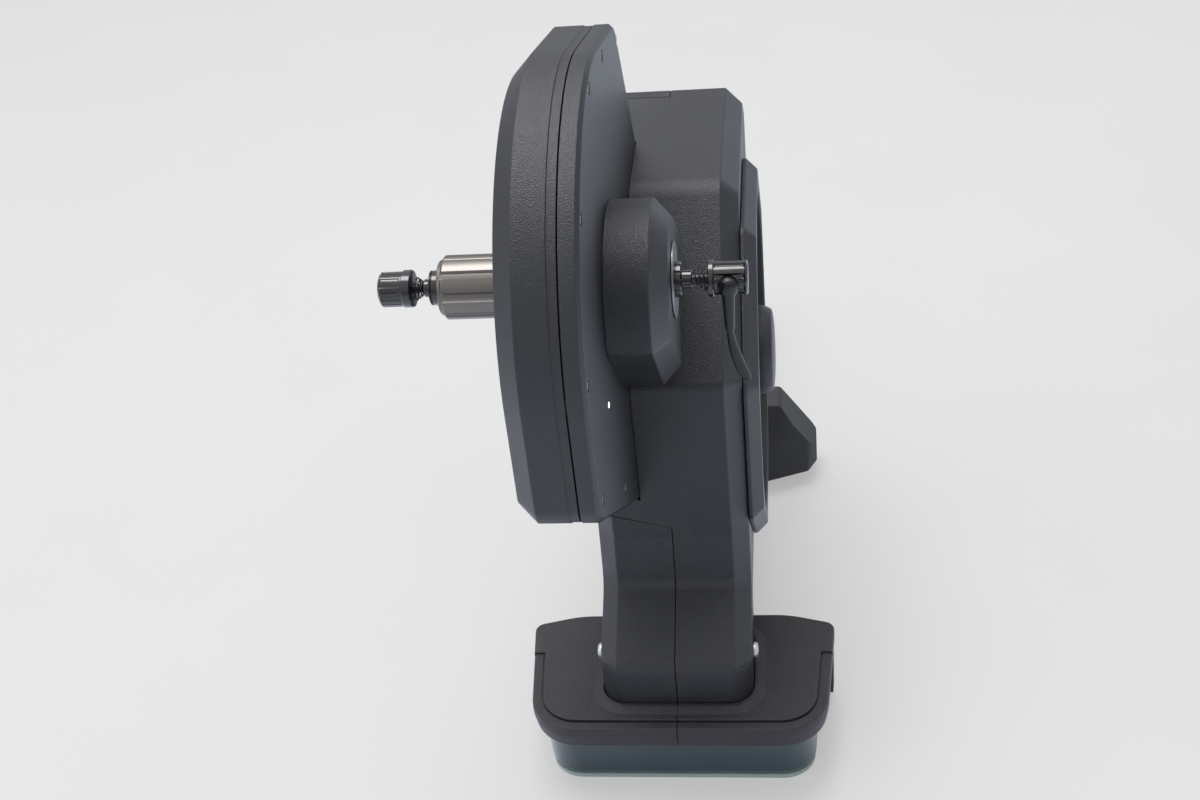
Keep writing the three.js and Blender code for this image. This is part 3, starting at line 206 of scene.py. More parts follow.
def join_rows(body, rows, sides, closed=False):
    """Faces between rows of vertices; a row may be a single point."""
    pairs = list(zip(rows, rows[1:]))
    if closed:
        pairs.append((rows[-1], rows[0]))
    for low, high in pairs:
        for i in range(sides):
            j = (i + 1) % sides
            corners = (low[i % len(low)], low[j % len(low)], high[j % len(high)], high[i % len(high)])
            corners = list(dict.fromkeys(corners))
            if len(corners) > 2:
                body.faces.new(corners)


def tube_of_rings(name, rings):
    """A closed body through rings of points."""
    body = bmesh.new()
    rows = [[body.verts.new(point) for point in ring] for ring in rings]
    join_rows(body, rows, len(rows[0]))
    body.faces.new(rows[0][::-1])
    body.faces.new(rows[-1])
    return mesh_object(name, body)


def loft(name, rings, place):
    """Joins outlines of equal length into one closed body; place says where a ring's point lies."""
    return tube_of_rings(name, [[place(point.x, point.y, at) for point in ring] for at, ring in rings])


def sideways(back, up, at):
    return (at, back, up)


def upwards(across, back, at):
    return (across, back, at)


def rearwards(across, up, at):
    return (across, at, up)


def side_body(name, corners, profile, fineness=1.3):
    """A body along X: its outline in side view is inset by the profile's height at each place."""
    return loft(name, [(at, outline(corners, inset, fineness)) for at, inset in profile], sideways)


def plan_body(name, corners, profile, fineness=1.3):
    """A body that stands up along Z: its outline in plan is inset at each height."""
    return loft(name, [(at, outline(corners, inset, fineness)) for at, inset in profile], upwards)


def prism(corners, low, high, inset, fineness=1.3):
    """An upright body with straight sides."""
    return plan_body("prism", corners, [(low, inset), (high, inset)], fineness)


def block(x=(-FAR, FAR), y=(-FAR, FAR), z=(-FAR, FAR)):
    """A plain block for cutting or joining; the sides that aren't given lie far away."""
    body = bmesh.new()
    bmesh.ops.create_cube(body, size=1)
    for vertex in body.verts:
        vertex.co = Vector(ends[side > 0] for ends, side in zip((x, y, z), vertex.co))
    return mesh_object("block", body)


def along_axis(axis, at, radius, angle):
    """A point at a radius and an angle round an axis."""
    if axis == "X":
        return Vector((at, radius * cos(angle), radius * sin(angle)))
    if axis == "Y":
        return Vector((radius * sin(angle), at, radius * cos(angle)))
    return Vector((radius * cos(angle), radius * sin(angle), at))


def fluted(name, profile, centre, count, depth, share=0.5, axis="X", fineness=16, closed=False):
    """A turned body from rows of (place, radius, flute); flute is the share of the depth at a row."""
    body = bmesh.new()
    sides = count * fineness
    wide = max(2, round(share * fineness))
    rows = []
    for at, radius, *flute in profile:
        if radius <= 0:
            rows.append([body.verts.new(along_axis(axis, at, 0, 0) + centre)])
            continue
        row = []
        for k in range(sides):
            place = k % fineness
            drop = min(1.0, 1.8 * sin(pi * place / wide)) if flute and place < wide else 0.0
            sunk = depth * flute[0] * drop if drop else 0.0
            row.append(body.verts.new(along_axis(axis, at, radius - sunk, 2 * pi * k / sides) + centre))
        rows.append(row)
    join_rows(body, rows, sides, closed)
    return mesh_object(name, body)


def lathe(name, profile, centre, axis="X", sides=64, closed=False):
    """A turned body from (place along the axis, radius) points; closed joins the last to the first."""
    return fluted(name, profile, centre, 1, 0, axis=axis, fineness=sides, closed=closed)


def bore(low, high, radius, centre, chamfer=0.0, axis="X", sides=64):
    """A round tool for cutting; chamfer opens its high end, or its low end where negative."""
    wide = radius + 2 * abs(chamfer)
    profile = [(low, 0), (low, radius), (high, radius), (high, 0)]
    if chamfer > 0:
        profile[2:3] = [(high - 2 * chamfer, radius), (high, wide)]
    if chamfer < 0:
        profile[1:2] = [(low, wide), (low - 2 * chamfer, radius)]
    return lathe("bore", profile, centre, axis, sides)


def bake(piece):
    """Applies a piece's modifiers to its mesh."""
    graph = bpy.context.evaluated_depsgraph_get()
    graph.update()
    mesh = bpy.data.meshes.new_from_object(piece.evaluated_get(graph))
    old = piece.data
    piece.modifiers.clear()
    piece.data = mesh
    mesh.name = piece.name
    bpy.data.meshes.remove(old)
    return piece


def carve(piece, *tools, way="DIFFERENCE"):
    """Cuts tools from a piece, joins them to it or keeps what they share, and deletes them."""
    for tool in tools:
        modifier = piece.modifiers.new("carve", "BOOLEAN")
        modifier.operation = way
        modifier.solver = "EXACT"
        modifier.object = tool
    bake(piece)
    for tool in tools:
        mesh = tool.data
        bpy.data.objects.remove(tool)
        bpy.data.meshes.remove(mesh)
    return piece


def bevel(piece, width, steps, method):
    """Adds a bevel to a piece and gives it back for its other settings."""
    made = piece.modifiers.new("ease", "BEVEL")
    made.limit_method = method
    made.width = width
    made.segments = steps
    return made


def ease_edges(piece, width, where):
    """Rounds the sharp edges whose two ends both satisfy where."""
    body = bmesh.new()
    body.from_mesh(piece.data)
    weights = [
        float(
            len(edge.link_faces) == 2 and edge.calc_face_angle() > radians(40)
            and edge.calc_length() > 0.6 * width and where(*(end.co for end in edge.verts))
        )
        for edge in body.edges
    ]
    body.free()
    layer = piece.data.attributes.new("bevel_weight_edge", "FLOAT", "EDGE")
    layer.data.foreach_set("value", weights)
    bevel(piece, width, 3, "WEIGHT").use_clamp_overlap = False
    return bake(piece)


def smooth(piece, sharp=38):
    """Shades a piece smooth, with its sharp edges kept and its large faces flat."""
    mesh = piece.data
    mesh.polygons.foreach_set("use_smooth", [True] * len(mesh.polygons))
    mesh.set_sharp_from_angle(angle=radians(sharp))
    weigh = piece.modifiers.new("weigh", "WEIGHTED_NORMAL")
    weigh.keep_sharp = True
    weigh.weight = 50
    return bake(piece)


def fit(piece, finish, node):
    """Gives a piece its finish, makes it move with a node's body and stand in the node's place."""
    part = frame["nodes"][node]
    for mesh in (part.data, piece.data):
        mesh.materials.clear()
        mesh.materials.append(bpy.data.materials[finish])
    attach(piece, part["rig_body"])
    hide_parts(node)


def socket_screw(name, place, hand, radius, height, socket):
    """A domed screw head with a six-sided socket, facing along X."""
    crown = [(0, 0), (0, 0.96), (0.25, 1), (0.45, 0.97)]
    crown += [
        (0.45 + 0.55 * sin(pi / 2 * k / 5), 0.45 + 0.52 * cos(pi / 2 * k / 5)) for k in range(1, 6)
    ]
    crown.append((1, 0))
    head = lathe(name, [(hand * height * up, radius * out) for up, out in crown], place, sides=40)
    key = bore(hand * height * 0.35, hand * height * 1.2, socket, place, sides=6)
    return smooth(carve(head, key))


# Shader effects

def fill(tree, node, inputs):
    """Sets a node's inputs to plain values or links sockets to them."""
    for name, value in inputs.items():
        if isinstance(value, NodeSocket):
            tree.links.new(value, node.inputs[name])
        else:
            node.inputs[name].default_value = value


def add_node(tree, kind, result, inputs=None, **settings):
    """Adds a node, fills its inputs and gives the output called result."""
    node = tree.nodes.new(f"ShaderNode{kind}")
    for name, value in settings.items():
        setattr(node, name, value)
    fill(tree, node, inputs or {})
    return node.outputs[result]


def calculate(tree, operation, *values):
    return add_node(tree, "Math", 0, dict(enumerate(values)), operation=operation)


def noise(tree, vector, scale, detail=3.0):
    return add_node(tree, "TexNoise", "Fac", {"Detail": detail, "Vector": vector, "Scale": scale})


def spread(tree, value, low, high):
    """Spreads a value between low and high over 0 to 1."""
    return add_node(tree, "MapRange", "Result", {"From Min": low, "From Max": high, "Value": value})


def blend(tree, factor, first, second):
    return add_node(tree, "Mix", "Result", {"Factor": factor, "A": first, "B": second}, data_type="RGBA")


def object_place(tree):
    return add_node(tree, "TexCoord", "Object")


def split_axes(tree, vector):
    """The X, Y and Z of a vector."""
    node = tree.nodes.new("ShaderNodeSeparateXYZ")
    fill(tree, node, {"Vector": vector})
    return node.outputs


def swing_about(tree, middle, value, amount):
    """A middle value that swings by an amount with another value about a half."""
    swing = calculate(tree, "MULTIPLY", calculate(tree, "SUBTRACT", value, 0.5), amount)
    return calculate(tree, "ADD", middle, swing)


def bump(tree, height, strength, distance):
    return add_node(tree, "Bump", "Normal", {"Strength": strength, "Distance": distance, "Height": height})


def effect_group(name, inputs, *outputs):
    """A shader group with its sockets; an output called Colour is a colour, any other a number."""
    tree = bpy.data.node_groups.new(name, "ShaderNodeTree")
    for socket, value in inputs.items():
        kind = "NodeSocketColor" if isinstance(value, tuple) else "NodeSocketFloat"
        tree.interface.new_socket(socket, in_out="INPUT", socket_type=kind).default_value = value
    for socket in outputs:
        kind = "NodeSocketColor" if socket == "Colour" else "NodeSocketFloat"
        tree.interface.new_socket(socket, in_out="OUTPUT", socket_type=kind)
    return tree, tree.nodes.new("NodeGroupInput").outputs, tree.nodes.new("NodeGroupOutput")


def moulded_grain():
    """The fine pebbled texture of moulded plastic, and the broad mottle of its shine."""
    tree, given, made = effect_group(
        "moulded_grain", {"Scale": 900.0, "Roughness": 0.45, "Mottle": 0.1}, "Height", "Roughness",
    )
    place = object_place(tree)
    cells = add_node(tree, "TexVoronoi", "Distance", {"Vector": place, "Scale": given["Scale"]})
    fine = noise(tree, place, calculate(tree, "MULTIPLY", given["Scale"], 1.9), 2.0)
    fill(tree, made, {
        "Height": calculate(tree, "MULTIPLY_ADD", cells, 0.7, fine),
        "Roughness": swing_about(tree, given["Roughness"], noise(tree, place, 34.0, 4.0), given["Mottle"]),
    })


def edge_wear_and_highlight():
    """A lighter colour on edges: partly rubbed wear and caught dust, partly painted highlight."""
    tree, given, made = effect_group("edge_wear_and_highlight", {
        "Colour": (0.02, 0.02, 0.02, 1), "Rubbed": (0.1, 0.1, 0.1, 1), "Amount": 0.5,
    }, "Colour")
    # Edge mask: the lighter edge colour is partly wear and partly painted highlight
    edge = spread(tree, add_node(tree, "NewGeometry", "Pointiness"), 0.53, 0.62)
    patch = spread(tree, noise(tree, object_place(tree), 60.0, 5.0), 0.35, 0.65)
    mask = calculate(tree, "MULTIPLY", calculate(tree, "MULTIPLY", edge, patch), given["Amount"])
    fill(tree, made, {"Colour": blend(tree, mask, given["Colour"], given["Rubbed"])})


def settled_dust():
    """Pale specks and a thin haze on what faces up."""
    tree, given, made = effect_group("settled_dust", {
        "Colour": (0.02, 0.02, 0.02, 1), "Dust": (0.3, 0.29, 0.28, 1), "Haze": 0.03, "Specks": 0.2,
    }, "Colour")
    place = object_place(tree)
    up = spread(tree, split_axes(tree, add_node(tree, "NewGeometry", "Normal"))["Z"], 0.1, 0.9)
    cloud = spread(tree, noise(tree, place, 45.0, 6.0), 0.3, 0.75)
    haze = calculate(tree, "MULTIPLY", cloud, given["Haze"])
    cells = add_node(tree, "TexVoronoi", "Distance", {"Vector": place, "Scale": 420.0})
    pick = spread(tree, noise(tree, place, 300.0, 1.0), 0.6, 0.7)
    speck = calculate(tree, "MULTIPLY", spread(tree, cells, 0.13, 0.06), pick)
    specks = calculate(tree, "MULTIPLY", speck, given["Specks"])
    mask = calculate(tree, "MULTIPLY", calculate(tree, "ADD", haze, specks), up)
    fill(tree, made, {"Colour": blend(tree, mask, given["Colour"], given["Dust"])})


def drawn_streaks():
    """Fine lines along X, as on drawn or turned metal, with their height and a tone."""
    tree, given, made = effect_group("drawn_streaks", {
        "Scale": 900.0, "Stretch": 0.03, "Roughness": 0.35, "Swing": 0.15,
    }, "Height", "Roughness", "Tone")
    place = object_place(tree)
    split = split_axes(tree, place)
    drawn = add_node(tree, "CombineXYZ", "Vector", {
        "X": calculate(tree, "MULTIPLY", split["X"], given["Stretch"]), "Y": split["Y"], "Z": split["Z"],
    })
    lines = noise(tree, drawn, given["Scale"])
    half_lines = calculate(tree, "MULTIPLY", lines, 0.5)
    fill(tree, made, {
        "Height": lines,
        "Roughness": swing_about(tree, given["Roughness"], lines, given["Swing"]),
        "Tone": calculate(tree, "MULTIPLY_ADD", noise(tree, place, 70.0, 4.0), 0.5, half_lines),
    })


def effect(tree, name, **inputs):
    """Places an effect group in a material with its own values."""
    node = tree.nodes.new("ShaderNodeGroup")
    node.node_tree = bpy.data.node_groups[name]
    fill(tree, node, inputs)
    return node.outputs


def bare_material(name):
    material = bpy.data.materials.new(name)
    material.use_nodes = True
    return material, material.node_tree, material.node_tree.nodes["Principled BSDF"]


def moulded_plastic(name, colour, roughness, scale, depth, haze=0.006, specks=0.06, edge_wear_highlight=0.3, coat=0.0):
    """Grained moulded plastic with lighter edges, partly wear and partly painted highlight, and settled dust.
    """
    _, tree, shader = bare_material(name)
    grain = effect(tree, "moulded_grain", Scale=scale, Roughness=roughness, Mottle=0.1)
    # Rubbed: the lighter edge colour, partly wear and partly painted highlight
    edges = effect(tree, "edge_wear_and_highlight", Colour=colour, Rubbed=(0.07, 0.072, 0.078, 1), Amount=edge_wear_highlight)
    dust = effect(tree, "settled_dust", Colour=edges["Colour"], Haze=haze, Specks=specks)
    fill(tree, shader, {
        "Base Color": dust["Colour"], "Roughness": grain["Roughness"], "Specular IOR Level": 0.45,
        "Coat Weight": coat, "Coat Roughness": 0.12, "Normal": bump(tree, grain["Height"], 0.8, depth),
    })


def drawn_metal(name, light, dark, roughness, metallic=1.0):
    """Metal with drawn or turned streaks between two tones."""
    _, tree, shader = bare_material(name)
    streaks = effect(tree, "drawn_streaks", Scale=900.0, Stretch=0.03, Roughness=roughness)
    fill(tree, shader, {
        "Base Color": blend(tree, spread(tree, streaks["Tone"], 0.35, 0.65), dark, light),
        "Roughness": streaks["Roughness"], "Metallic": metallic,
        "Normal": bump(tree, streaks["Height"], 0.4, 0.02 * MM),
    })


def petrol_paint():
    """Glossy petrol blue paint with fine flake under a clear coat."""
    _, tree, shader = bare_material("petrol_paint")
    place = object_place(tree)
    flake = spread(tree, noise(tree, place, 2200.0, 1.0), 0.4, 0.7)
    cloud = calculate(tree, "MULTIPLY", noise(tree, place, 18.0), 0.75)
    tone = calculate(tree, "MULTIPLY_ADD", flake, 0.25, cloud)
    fill(tree, shader, {
        "Base Color": blend(tree, tone, (0.002, 0.014, 0.019, 1), (0.009, 0.044, 0.056, 1)),
        "Metallic": 0.35, "Roughness": 0.32, "Coat Weight": 1.0, "Coat Roughness": 0.06,
        "Normal": bump(tree, noise(tree, place, 160.0, 2.0), 0.12, 0.2 * MM),
    })


def wound_copper():
    """Lacquered wire wound round the poles: close ridges, with a darker tone in the grooves between them as
    painted shade.
    """
    _, tree, shader = bare_material("wound_copper")
    wave = add_node(tree, "TexWave", "Fac", {
        "Scale": 260.0, "Distortion": 0.6, "Vector": object_place(tree),
    }, bands_direction="X")
    # Base colour darkest where the windings' bump is lowest: painted shade in the grooves
    fill(tree, shader, {
        "Base Color": blend(tree, wave, (0.16, 0.06, 0.03, 1), (0.55, 0.25, 0.12, 1)),
        "Metallic": 0.8, "Roughness": 0.35, "Normal": bump(tree, wave, 0.6, 0.3 * MM),
    })


def status_lens():
    """A small clear lens lit from behind."""
    _, tree, shader = bare_material("status_lens")
    glow = spread(tree, noise(tree, object_place(tree), 900.0, 1.0), 0.2, 0.8)
    colour = blend(tree, glow, (0.8, 0.88, 0.95, 1), (1, 1, 1, 1))
    fill(tree, shader, {
        "Base Color": colour, "Emission Color": colour, "Emission Strength": 2.0, "Roughness": 0.15,
    })


# Settings in the sidebar

def length(name, description, millimetres):
    return FloatProperty(name=name, description=description, unit="LENGTH", default=millimetres * MM)


def number(name, description, default, **limits):
    return FloatProperty(name=name, description=description, default=default, **limits)


def angle(name, description, degrees):
    return number(name, description, radians(degrees), subtype="ANGLE")


def tint(name, description, *default):
    return FloatVectorProperty(
        name=name, description=description, subtype="COLOR", size=len(default), min=0, max=1, default=default,
    )


class TrainerFinishes(PropertyGroup):
    """Colours and texture sizes of the finishes."""

    body_colour: tint("Body colour", "Black plastic of the housing and covers", 0.018, 0.0193, 0.0245, 1)
    foot_colour: tint("Foot colour", "Purplish black plastic of the front foot", 0.023, 0.0205, 0.026, 1)
    gloss_colour: tint("Gloss black", "Smooth black of the skewer, nut and caps", 0.004, 0.004, 0.005, 1)
    grain_scale: number("Grain scale", "Cells of the moulded grain in each metre", 1350, min=100)
    grain_depth: length("Grain depth", "Height of the moulded grain", 0.3)


class TRAINER_OT_finishes(Operator):
    """Makes the shader effects and every finish"""

    bl_idname = "trainer.finishes"
    bl_label = "Finishes"

    def execute(self, context):
        looks = context.scene.trainer_finishes
        for make in (moulded_grain, edge_wear_and_highlight, settled_dust, drawn_streaks):
            make()
        body, foot, gloss = (tuple(c) for c in (looks.body_colour, looks.foot_colour, looks.gloss_colour))
        grain, depth = looks.grain_scale, looks.grain_depth
        # edge_wear_highlight: how much edges are lightened, partly as wear and partly as painted highlight; the
        # lever's is highest
        for name, colour, roughness, finer, deeper, extra in (
            ("satin_black", body, 0.31, 1, 1, {}),
            ("foot_black", foot, 0.42, 0.9, 1.5, {"haze": 0.015, "specks": 0.3}),
            ("smooth_black", gloss, 0.2, 0.5, 0.1, {"edge_wear_highlight": 0.2, "coat": 0.6}),
            ("lever_black", (0.004, 0.004, 0.005, 1), 0.24, 1, 0.5, {"edge_wear_highlight": 0.6}),
            ("leg_black", body, 0.5, 0.7, 1.4, {}),
            ("powder_black", (0.02, 0.021, 0.023, 1), 0.5, 0.6, 1.2, {}),
            ("cast_black", (0.016, 0.016, 0.018, 1), 0.48, 0.35, 2, {}),
            ("pale_sole", (0.34, 0.42, 0.4, 1), 0.6, 1, 1, {"specks": 0.0, "edge_wear_highlight": 0.0}),
            ("black_rubber", (0.012, 0.012, 0.012, 1), 0.75, 0.6, 1.6, {}),
            ("board_mask", (0.02, 0.11, 0.045, 1), 0.35, 0.3, 0.3, {}),
        ):
            moulded_plastic(name, colour, roughness, grain * finer, depth * deeper, **extra)
        drawn_metal("bright_steel", (0.8, 0.81, 0.83, 1), (0.58, 0.59, 0.61, 1), 0.25)
        drawn_metal("dull_steel", (0.36, 0.36, 0.37, 1), (0.2, 0.2, 0.21, 1), 0.35)
        drawn_metal("spring_steel", (0.07, 0.07, 0.075, 1), (0.02, 0.02, 0.022, 1), 0.35)
        drawn_metal("grey_alloy", (0.2, 0.19, 0.19, 1), (0.12, 0.115, 0.115, 1), 0.6, metallic=0.25)
        for make in (petrol_paint, wound_copper, status_lens):
            make()
        return {"FINISHED"}


# Plain inner parts: their finish, and the millimetres by which their edges are eased

EASED = {
    ("powder_black", 1.6): ("main_frame",),
    ("bright_steel", 0.3): (
        "axle", "freehub_bearing_outer", "freehub_bearing_inner", "hub_bearing_outer", "hub_bearing_inner",
        "shaft_bearing_inner", "shaft_bearing_outer", "flywheel_shaft",
    ),
    ("bright_steel", 0.5): ("leg_pin_right", "leg_pin_left"),
    ("bright_steel", 0.4): ("level_stud_right", "level_stud_left"),
    ("grey_alloy", 0.3): ("drive_pulley", "small_pulley"),
    ("black_rubber", 0.2): ("drive_belt",),
    ("wound_copper", 0.3): ("brake_stator",),
    ("board_mask", 0.2): ("control_board",),
    ("smooth_black", 0.3): ("power_inlet",),
    ("spring_steel", 0.2): ("skewer_rod",),
}


def eased_copy(node, width):
    """A node's shape again with its edges rounded and its round sides shaded smooth."""
    body = bmesh.new()
    body.from_mesh(frame["nodes"][node].data)
    bmesh.ops.remove_doubles(body, verts=body.verts, dist=WELD)
    bmesh.ops.dissolve_limit(body, angle_limit=radians(1), verts=body.verts, edges=body.edges)
    piece = mesh_object(f"{node}_eased", body)
    bevel(piece, width, 2, "ANGLE").angle_limit = radians(32)
    return smooth(bake(piece), 30)


class TRAINER_OT_carried_parts(Operator):
    """Dresses the inner parts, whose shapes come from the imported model"""

    bl_idname = "trainer.carried_parts"
    bl_label = "Carried parts"

    def execute(self, context):
        for (finish, width), nodes in EASED.items():
            for node in nodes:
                fit(eased_copy(node, width * MM), finish, node)
        return {"FINISHED"}


# Belt cover

COVER_SHARES = [
    (-1, 1.203, 0.962), (0.84, 0.775, 0.168), (1.641, -0.58, 0.46),
    (1.641, -1.771, 0.61), (0.89, -1.771, 0.46), (-1, -0.448, 0.116),
]
COVER_SCREW_SHARES = [
    (-0.939, 0.13), (-0.893, -0.412), (-0.672, 0.649), (-0.13, 0.9), (0.336, 0.832),
    (0.9, 0.672), (1.35, -0.18), (-0.267, -0.855), (0.7, -1.52), (1.49, -1.4),
]
LIGHT_SHARES = (-0.489, -0.267)


class TrainerCover(PropertyGroup):
    """Sizes of the two shells of the belt cover."""

    radius: length("Radius", "Radius round the drive pulley, from which the outline follows", 130.7)
    bevel_depth: length("Bevel depth", "Depth of the outer bevel along the axle", 10)
    bevel_inset: length("Bevel inset", "How far the outer bevel draws in", 10.5)
    edge: length("Inner edge", "Bevel of the inner shell", 2.2)
    wall: length("Wall", "Thickness of the shells", 3)
    lip: length("Lip", "Width of the lowered lip beside the joint", 5.2)
    step: length("Step", "Drop of the lip and depth of the joint's groove", 0.5)
    crack: length("Joint", "Half the width of the dark joint", 0.35)
    softness: length("Softness", "Radius on the bevel's edges", 1.3)
    hole: length("Hole", "Radius of the hole for the freehub", 18.7)
    axle_hole: length("Axle hole", "Radius of the inner shell's hole for the axle", 22.3)
    shaft_hole: length("Shaft hole", "Radius of the inner shell's hole for the flywheel's shaft", 24.3)
    light: length("Light", "Radius of the status light", 1.8)
    screw_head: length("Screw head", "Radius of the screws' heads", 2.9)
    screw_height: length("Screw height", "Height of the screws' heads", 2)
    recess: length("Recess", "Depth of the screws' recesses", 2.6)


def cover_corners(cover):
    size = cover.radius
    return [(AXLE.y + back * size, AXLE.z + up * size, bend * size) for back, up, bend in COVER_SHARES]


def cover_place(cover, shares):
    return axle_line(shares[0] * cover.radius, shares[1] * cover.radius)


def outer_cover(cover):
    """The deep outer shell with its bevel, the lip at the joint and the freehub's hole."""
    low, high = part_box("belt_cover_outer")
    face, seam = low.x, high.x
    corners = cover_corners(cover)
    lip = seam - cover.lip
    band = soften([
        (face, cover.bevel_inset + cover.wall), (face, cover.bevel_inset),
        (face + cover.bevel_depth, 0), (lip, 0),
    ], cover.softness)
    shell = side_body("cover_outer", corners, [
        *band, (lip + cover.step, cover.step), (seam - cover.crack, cover.step),
        (seam, cover.step + 2 * cover.crack),
    ])
    room = side_body("room", corners, [
        (face + cover.wall, cover.bevel_inset + cover.wall),
        (face + cover.bevel_depth + cover.wall / 2, cover.wall), (seam + cover.wall, cover.wall),
    ])
    hole = bore(face - cover.step, face + 3 * cover.wall, cover.hole, axle_line(), -cover.step)
    return smooth(carve(shell, room, hole))


def inner_cover(cover):
    """The shallow inner shell with its openings and the recesses of the screws."""
    low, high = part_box("belt_cover_inner")
    seam, face = low.x, high.x
    start, end = seam - cover.wall, face + cover.step
    corners = cover_corners(cover)
    band = soften([
        (seam + cover.crack, 0), (face - cover.edge, 0), (face, cover.edge), (face, 2 * cover.edge),
    ], 2 * cover.step)
    shell = side_body("cover_inner", corners, [(seam, cover.step + 2 * cover.crack), *band])
    tools = [
        side_body("room", corners, [(start, cover.wall), (face - cover.wall, cover.wall)]),
        bore(start, end, cover.axle_hole, axle_line(), cover.step),
        bore(start, end, cover.shaft_hole, wheel_line()),
    ]
    for shares in COVER_SCREW_SHARES:
        place = cover_place(cover, shares)
        tools.append(bore(face - cover.recess, end, cover.screw_head + CLEARANCE, place, cover.step, sides=28))
    lamp = bore(face - cover.wall, end, cover.light + CLEARANCE, cover_place(cover, LIGHT_SHARES), sides=28)
    return smooth(carve(shell, *tools, lamp))


class TRAINER_OT_belt_cover(Operator):
    """Builds the belt cover's shells, their screws and the status light"""

    bl_idname = "trainer.belt_cover"
    bl_label = "Belt cover"

    def execute(self, context):
        cover = context.scene.trainer_cover
        fit(outer_cover(cover), "satin_black", "belt_cover_outer")
        fit(inner_cover(cover), "satin_black", "belt_cover_inner")
        for i in range(1, len(COVER_SCREW_SHARES) + 1):
            node = f"cover_screw_{i}"
            place = node_line(node)
            place.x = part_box(node)[1].x - cover.screw_height
            screw = socket_screw(
                f"cover_bolt_{i}", place, 1, cover.screw_head, cover.screw_height, 1.3 * MM,
            )
            fit(screw, "bright_steel", node)
        low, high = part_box("status_light")
        lens = lathe("status_lens", [
            (low.x, 0), (low.x, cover.light), *offsets(high.x, cover.light, (-0.5, 0), (-0.2, -0.3), (0, -1)),
            (high.x, 0),
        ], node_line("status_light"), sides=24)
        fit(smooth(lens), "status_lens", "status_light")
        return {"FINISHED"}


# Housing and neck

HOUSING_SHARES = [
    (-0.273, 1.094, 0.15), (0.783, 1.094, 0.09), (1.0156, 0.922, 0.11),
    (1.0156, -0.508, 0.23), (0.602, -0.953, 0.16),
]
SEAM_SLOPE_SHARE = 0.26
NOSE_TILT = 0.66
NOSE_CREASE = radians(191)
NOSE_STEPS = 40
CHIN_BEVEL_SHARES = Vector((1.47, 0.31))
THROAT_SHARES = Vector((0.8, -1.2))
FACE_THROAT_SHARES = Vector((0.26, -0.88))


class TrainerBody(PropertyGroup):
    """Sizes of the moulded housing and neck."""

    wheel_radius: length("Housing radius", "Size round the flywheel, from which the housing follows", 128)
    half_width: length("Half width", "Half the width of the body", 46.5)
    bevel: length("Bevel", "Bevel along both sides", 10.5)
    softness: length("Softness", "Radius on the bevel's edges", 2)
    wall: length("Wall", "Thickness of the shells", 3)
    groove: length("Groove", "Half the width of the joint's groove", 0.55)
    seam_height: length("Joint height", "Height of the joint across the front", 154)
    seam_back: length("Joint back", "Where the joint leaves the middle at the back", 234)
    wrap_height: length("Wrap height", "Lower end of the joint behind the belt cover", 305)
    wrap_front: length("Wrap front", "Back end of the lever side's shell in front of the cover", 60)
    neck_front: length("Neck front", "Front of the neck", 21)
    neck_bend: length("Neck bend", "Radius of the neck's bends", 8)
    toe_front: length("Toe front", "Front of the neck's toe", -30)
    toe_back: length("Toe back", "Back of the neck's foot", 38)
    toe_height: length("Toe height", "Top of the toe's front edge", 87)
    toe_foot: length("Toe foot", "Lower end of the toe, inside the foot", 40)
    toe_bend: length("Toe bend", "Radius of the toe's upright corners", 15)
    toe_step: length("Toe step", "How far under its top edge the toe's round block ends", 5)
    toe_lean: length("Toe lean", "How far the slope over the toe runs out before the neck", 4)
    knee: length("Knee", "Height of that slope's end over the housing's floor", 34)
    neck_rise: length("Neck rise", "Height over the housing's floor where the neck stands upright", 68)
    slope_drop: length("Slope drop", "How far under the axle the housing's slope starts", 84)
    nose_radius: length("Nose radius", "Radius of the nose round the axle", 49)
    nose_sink: length("Nose sink", "How far the nose lies under the axle", 5.5)
    nose_shoulder: length("Nose shoulder", "Where the nose's bevel starts", 5.7)
    nose_face: length("Nose face", "The nose's flat face", 14.5)
    nose_inset: length("Nose bevel", "How far the nose's bevel draws in", 10)
    nose_back: length("Nose back", "How far the nose runs back into the slope", 92)
    nose_end: length("Nose end", "Where the nose's face ends at the slope", 49)
    chin_reach: length("Chin reach", "How far the chin's edge stands before the nose's middle", 5.2)
    chin_drop: length("Chin drop", "How far the chin's edge lies under the nose's middle", 57)
    shroud_radius: length("Shroud", "Half the width of the eight-sided ring", 115)
    shroud_bore: length("Shroud bore", "Radius of the opening round the flywheel", 102.5)
    axle_hole: length("Axle hole", "Radius of the nose's hole for the end cap", 9.7)
    rail_half: length("Rail opening", "Half the width of the opening for the rail", 20.3)
    rail_top: length("Rail top", "Top of the opening for the rail", 64.3)
    screw_head: length("Screw head", "Radius of the neck's screws", 5)
    screw_seat: length("Screw seat", "Radius of the holes for the neck's screws", 2.8)
    screw_lift: length("Screw lift", "How far the neck's screws stand off its sides", 0.2)


def body_corners(body):
    """The side view: the housing round the flywheel, then the neck and its toe."""
    size, bend = body.wheel_radius, body.neck_bend
    top, *housing = [
        (WHEEL.y + back * size, WHEEL.z + up * size, radius * size) for back, up, radius in HOUSING_SHARES
    ]
    floor = housing[-1][1]
    return [
        *housing, (body.toe_back, floor, bend), (body.toe_back, body.toe_foot, 0),
        (body.toe_front, body.toe_foot, 0), (body.toe_front, body.toe_height, bend),
        (body.neck_front - body.toe_lean, floor + body.knee, bend),
        (body.neck_front, floor + body.neck_rise, 2 * bend), (body.neck_front, AXLE.z - body.slope_drop, bend),
        top,
    ]


def toe_corners(body):
    """The neck's toe in plan, with its four round corners."""
    half, bend = body.half_width, body.toe_bend
    return [
        (-half, body.toe_front, bend), (half, body.toe_front, bend),
        (half, body.toe_back, bend), (-half, body.toe_back, bend),
    ]


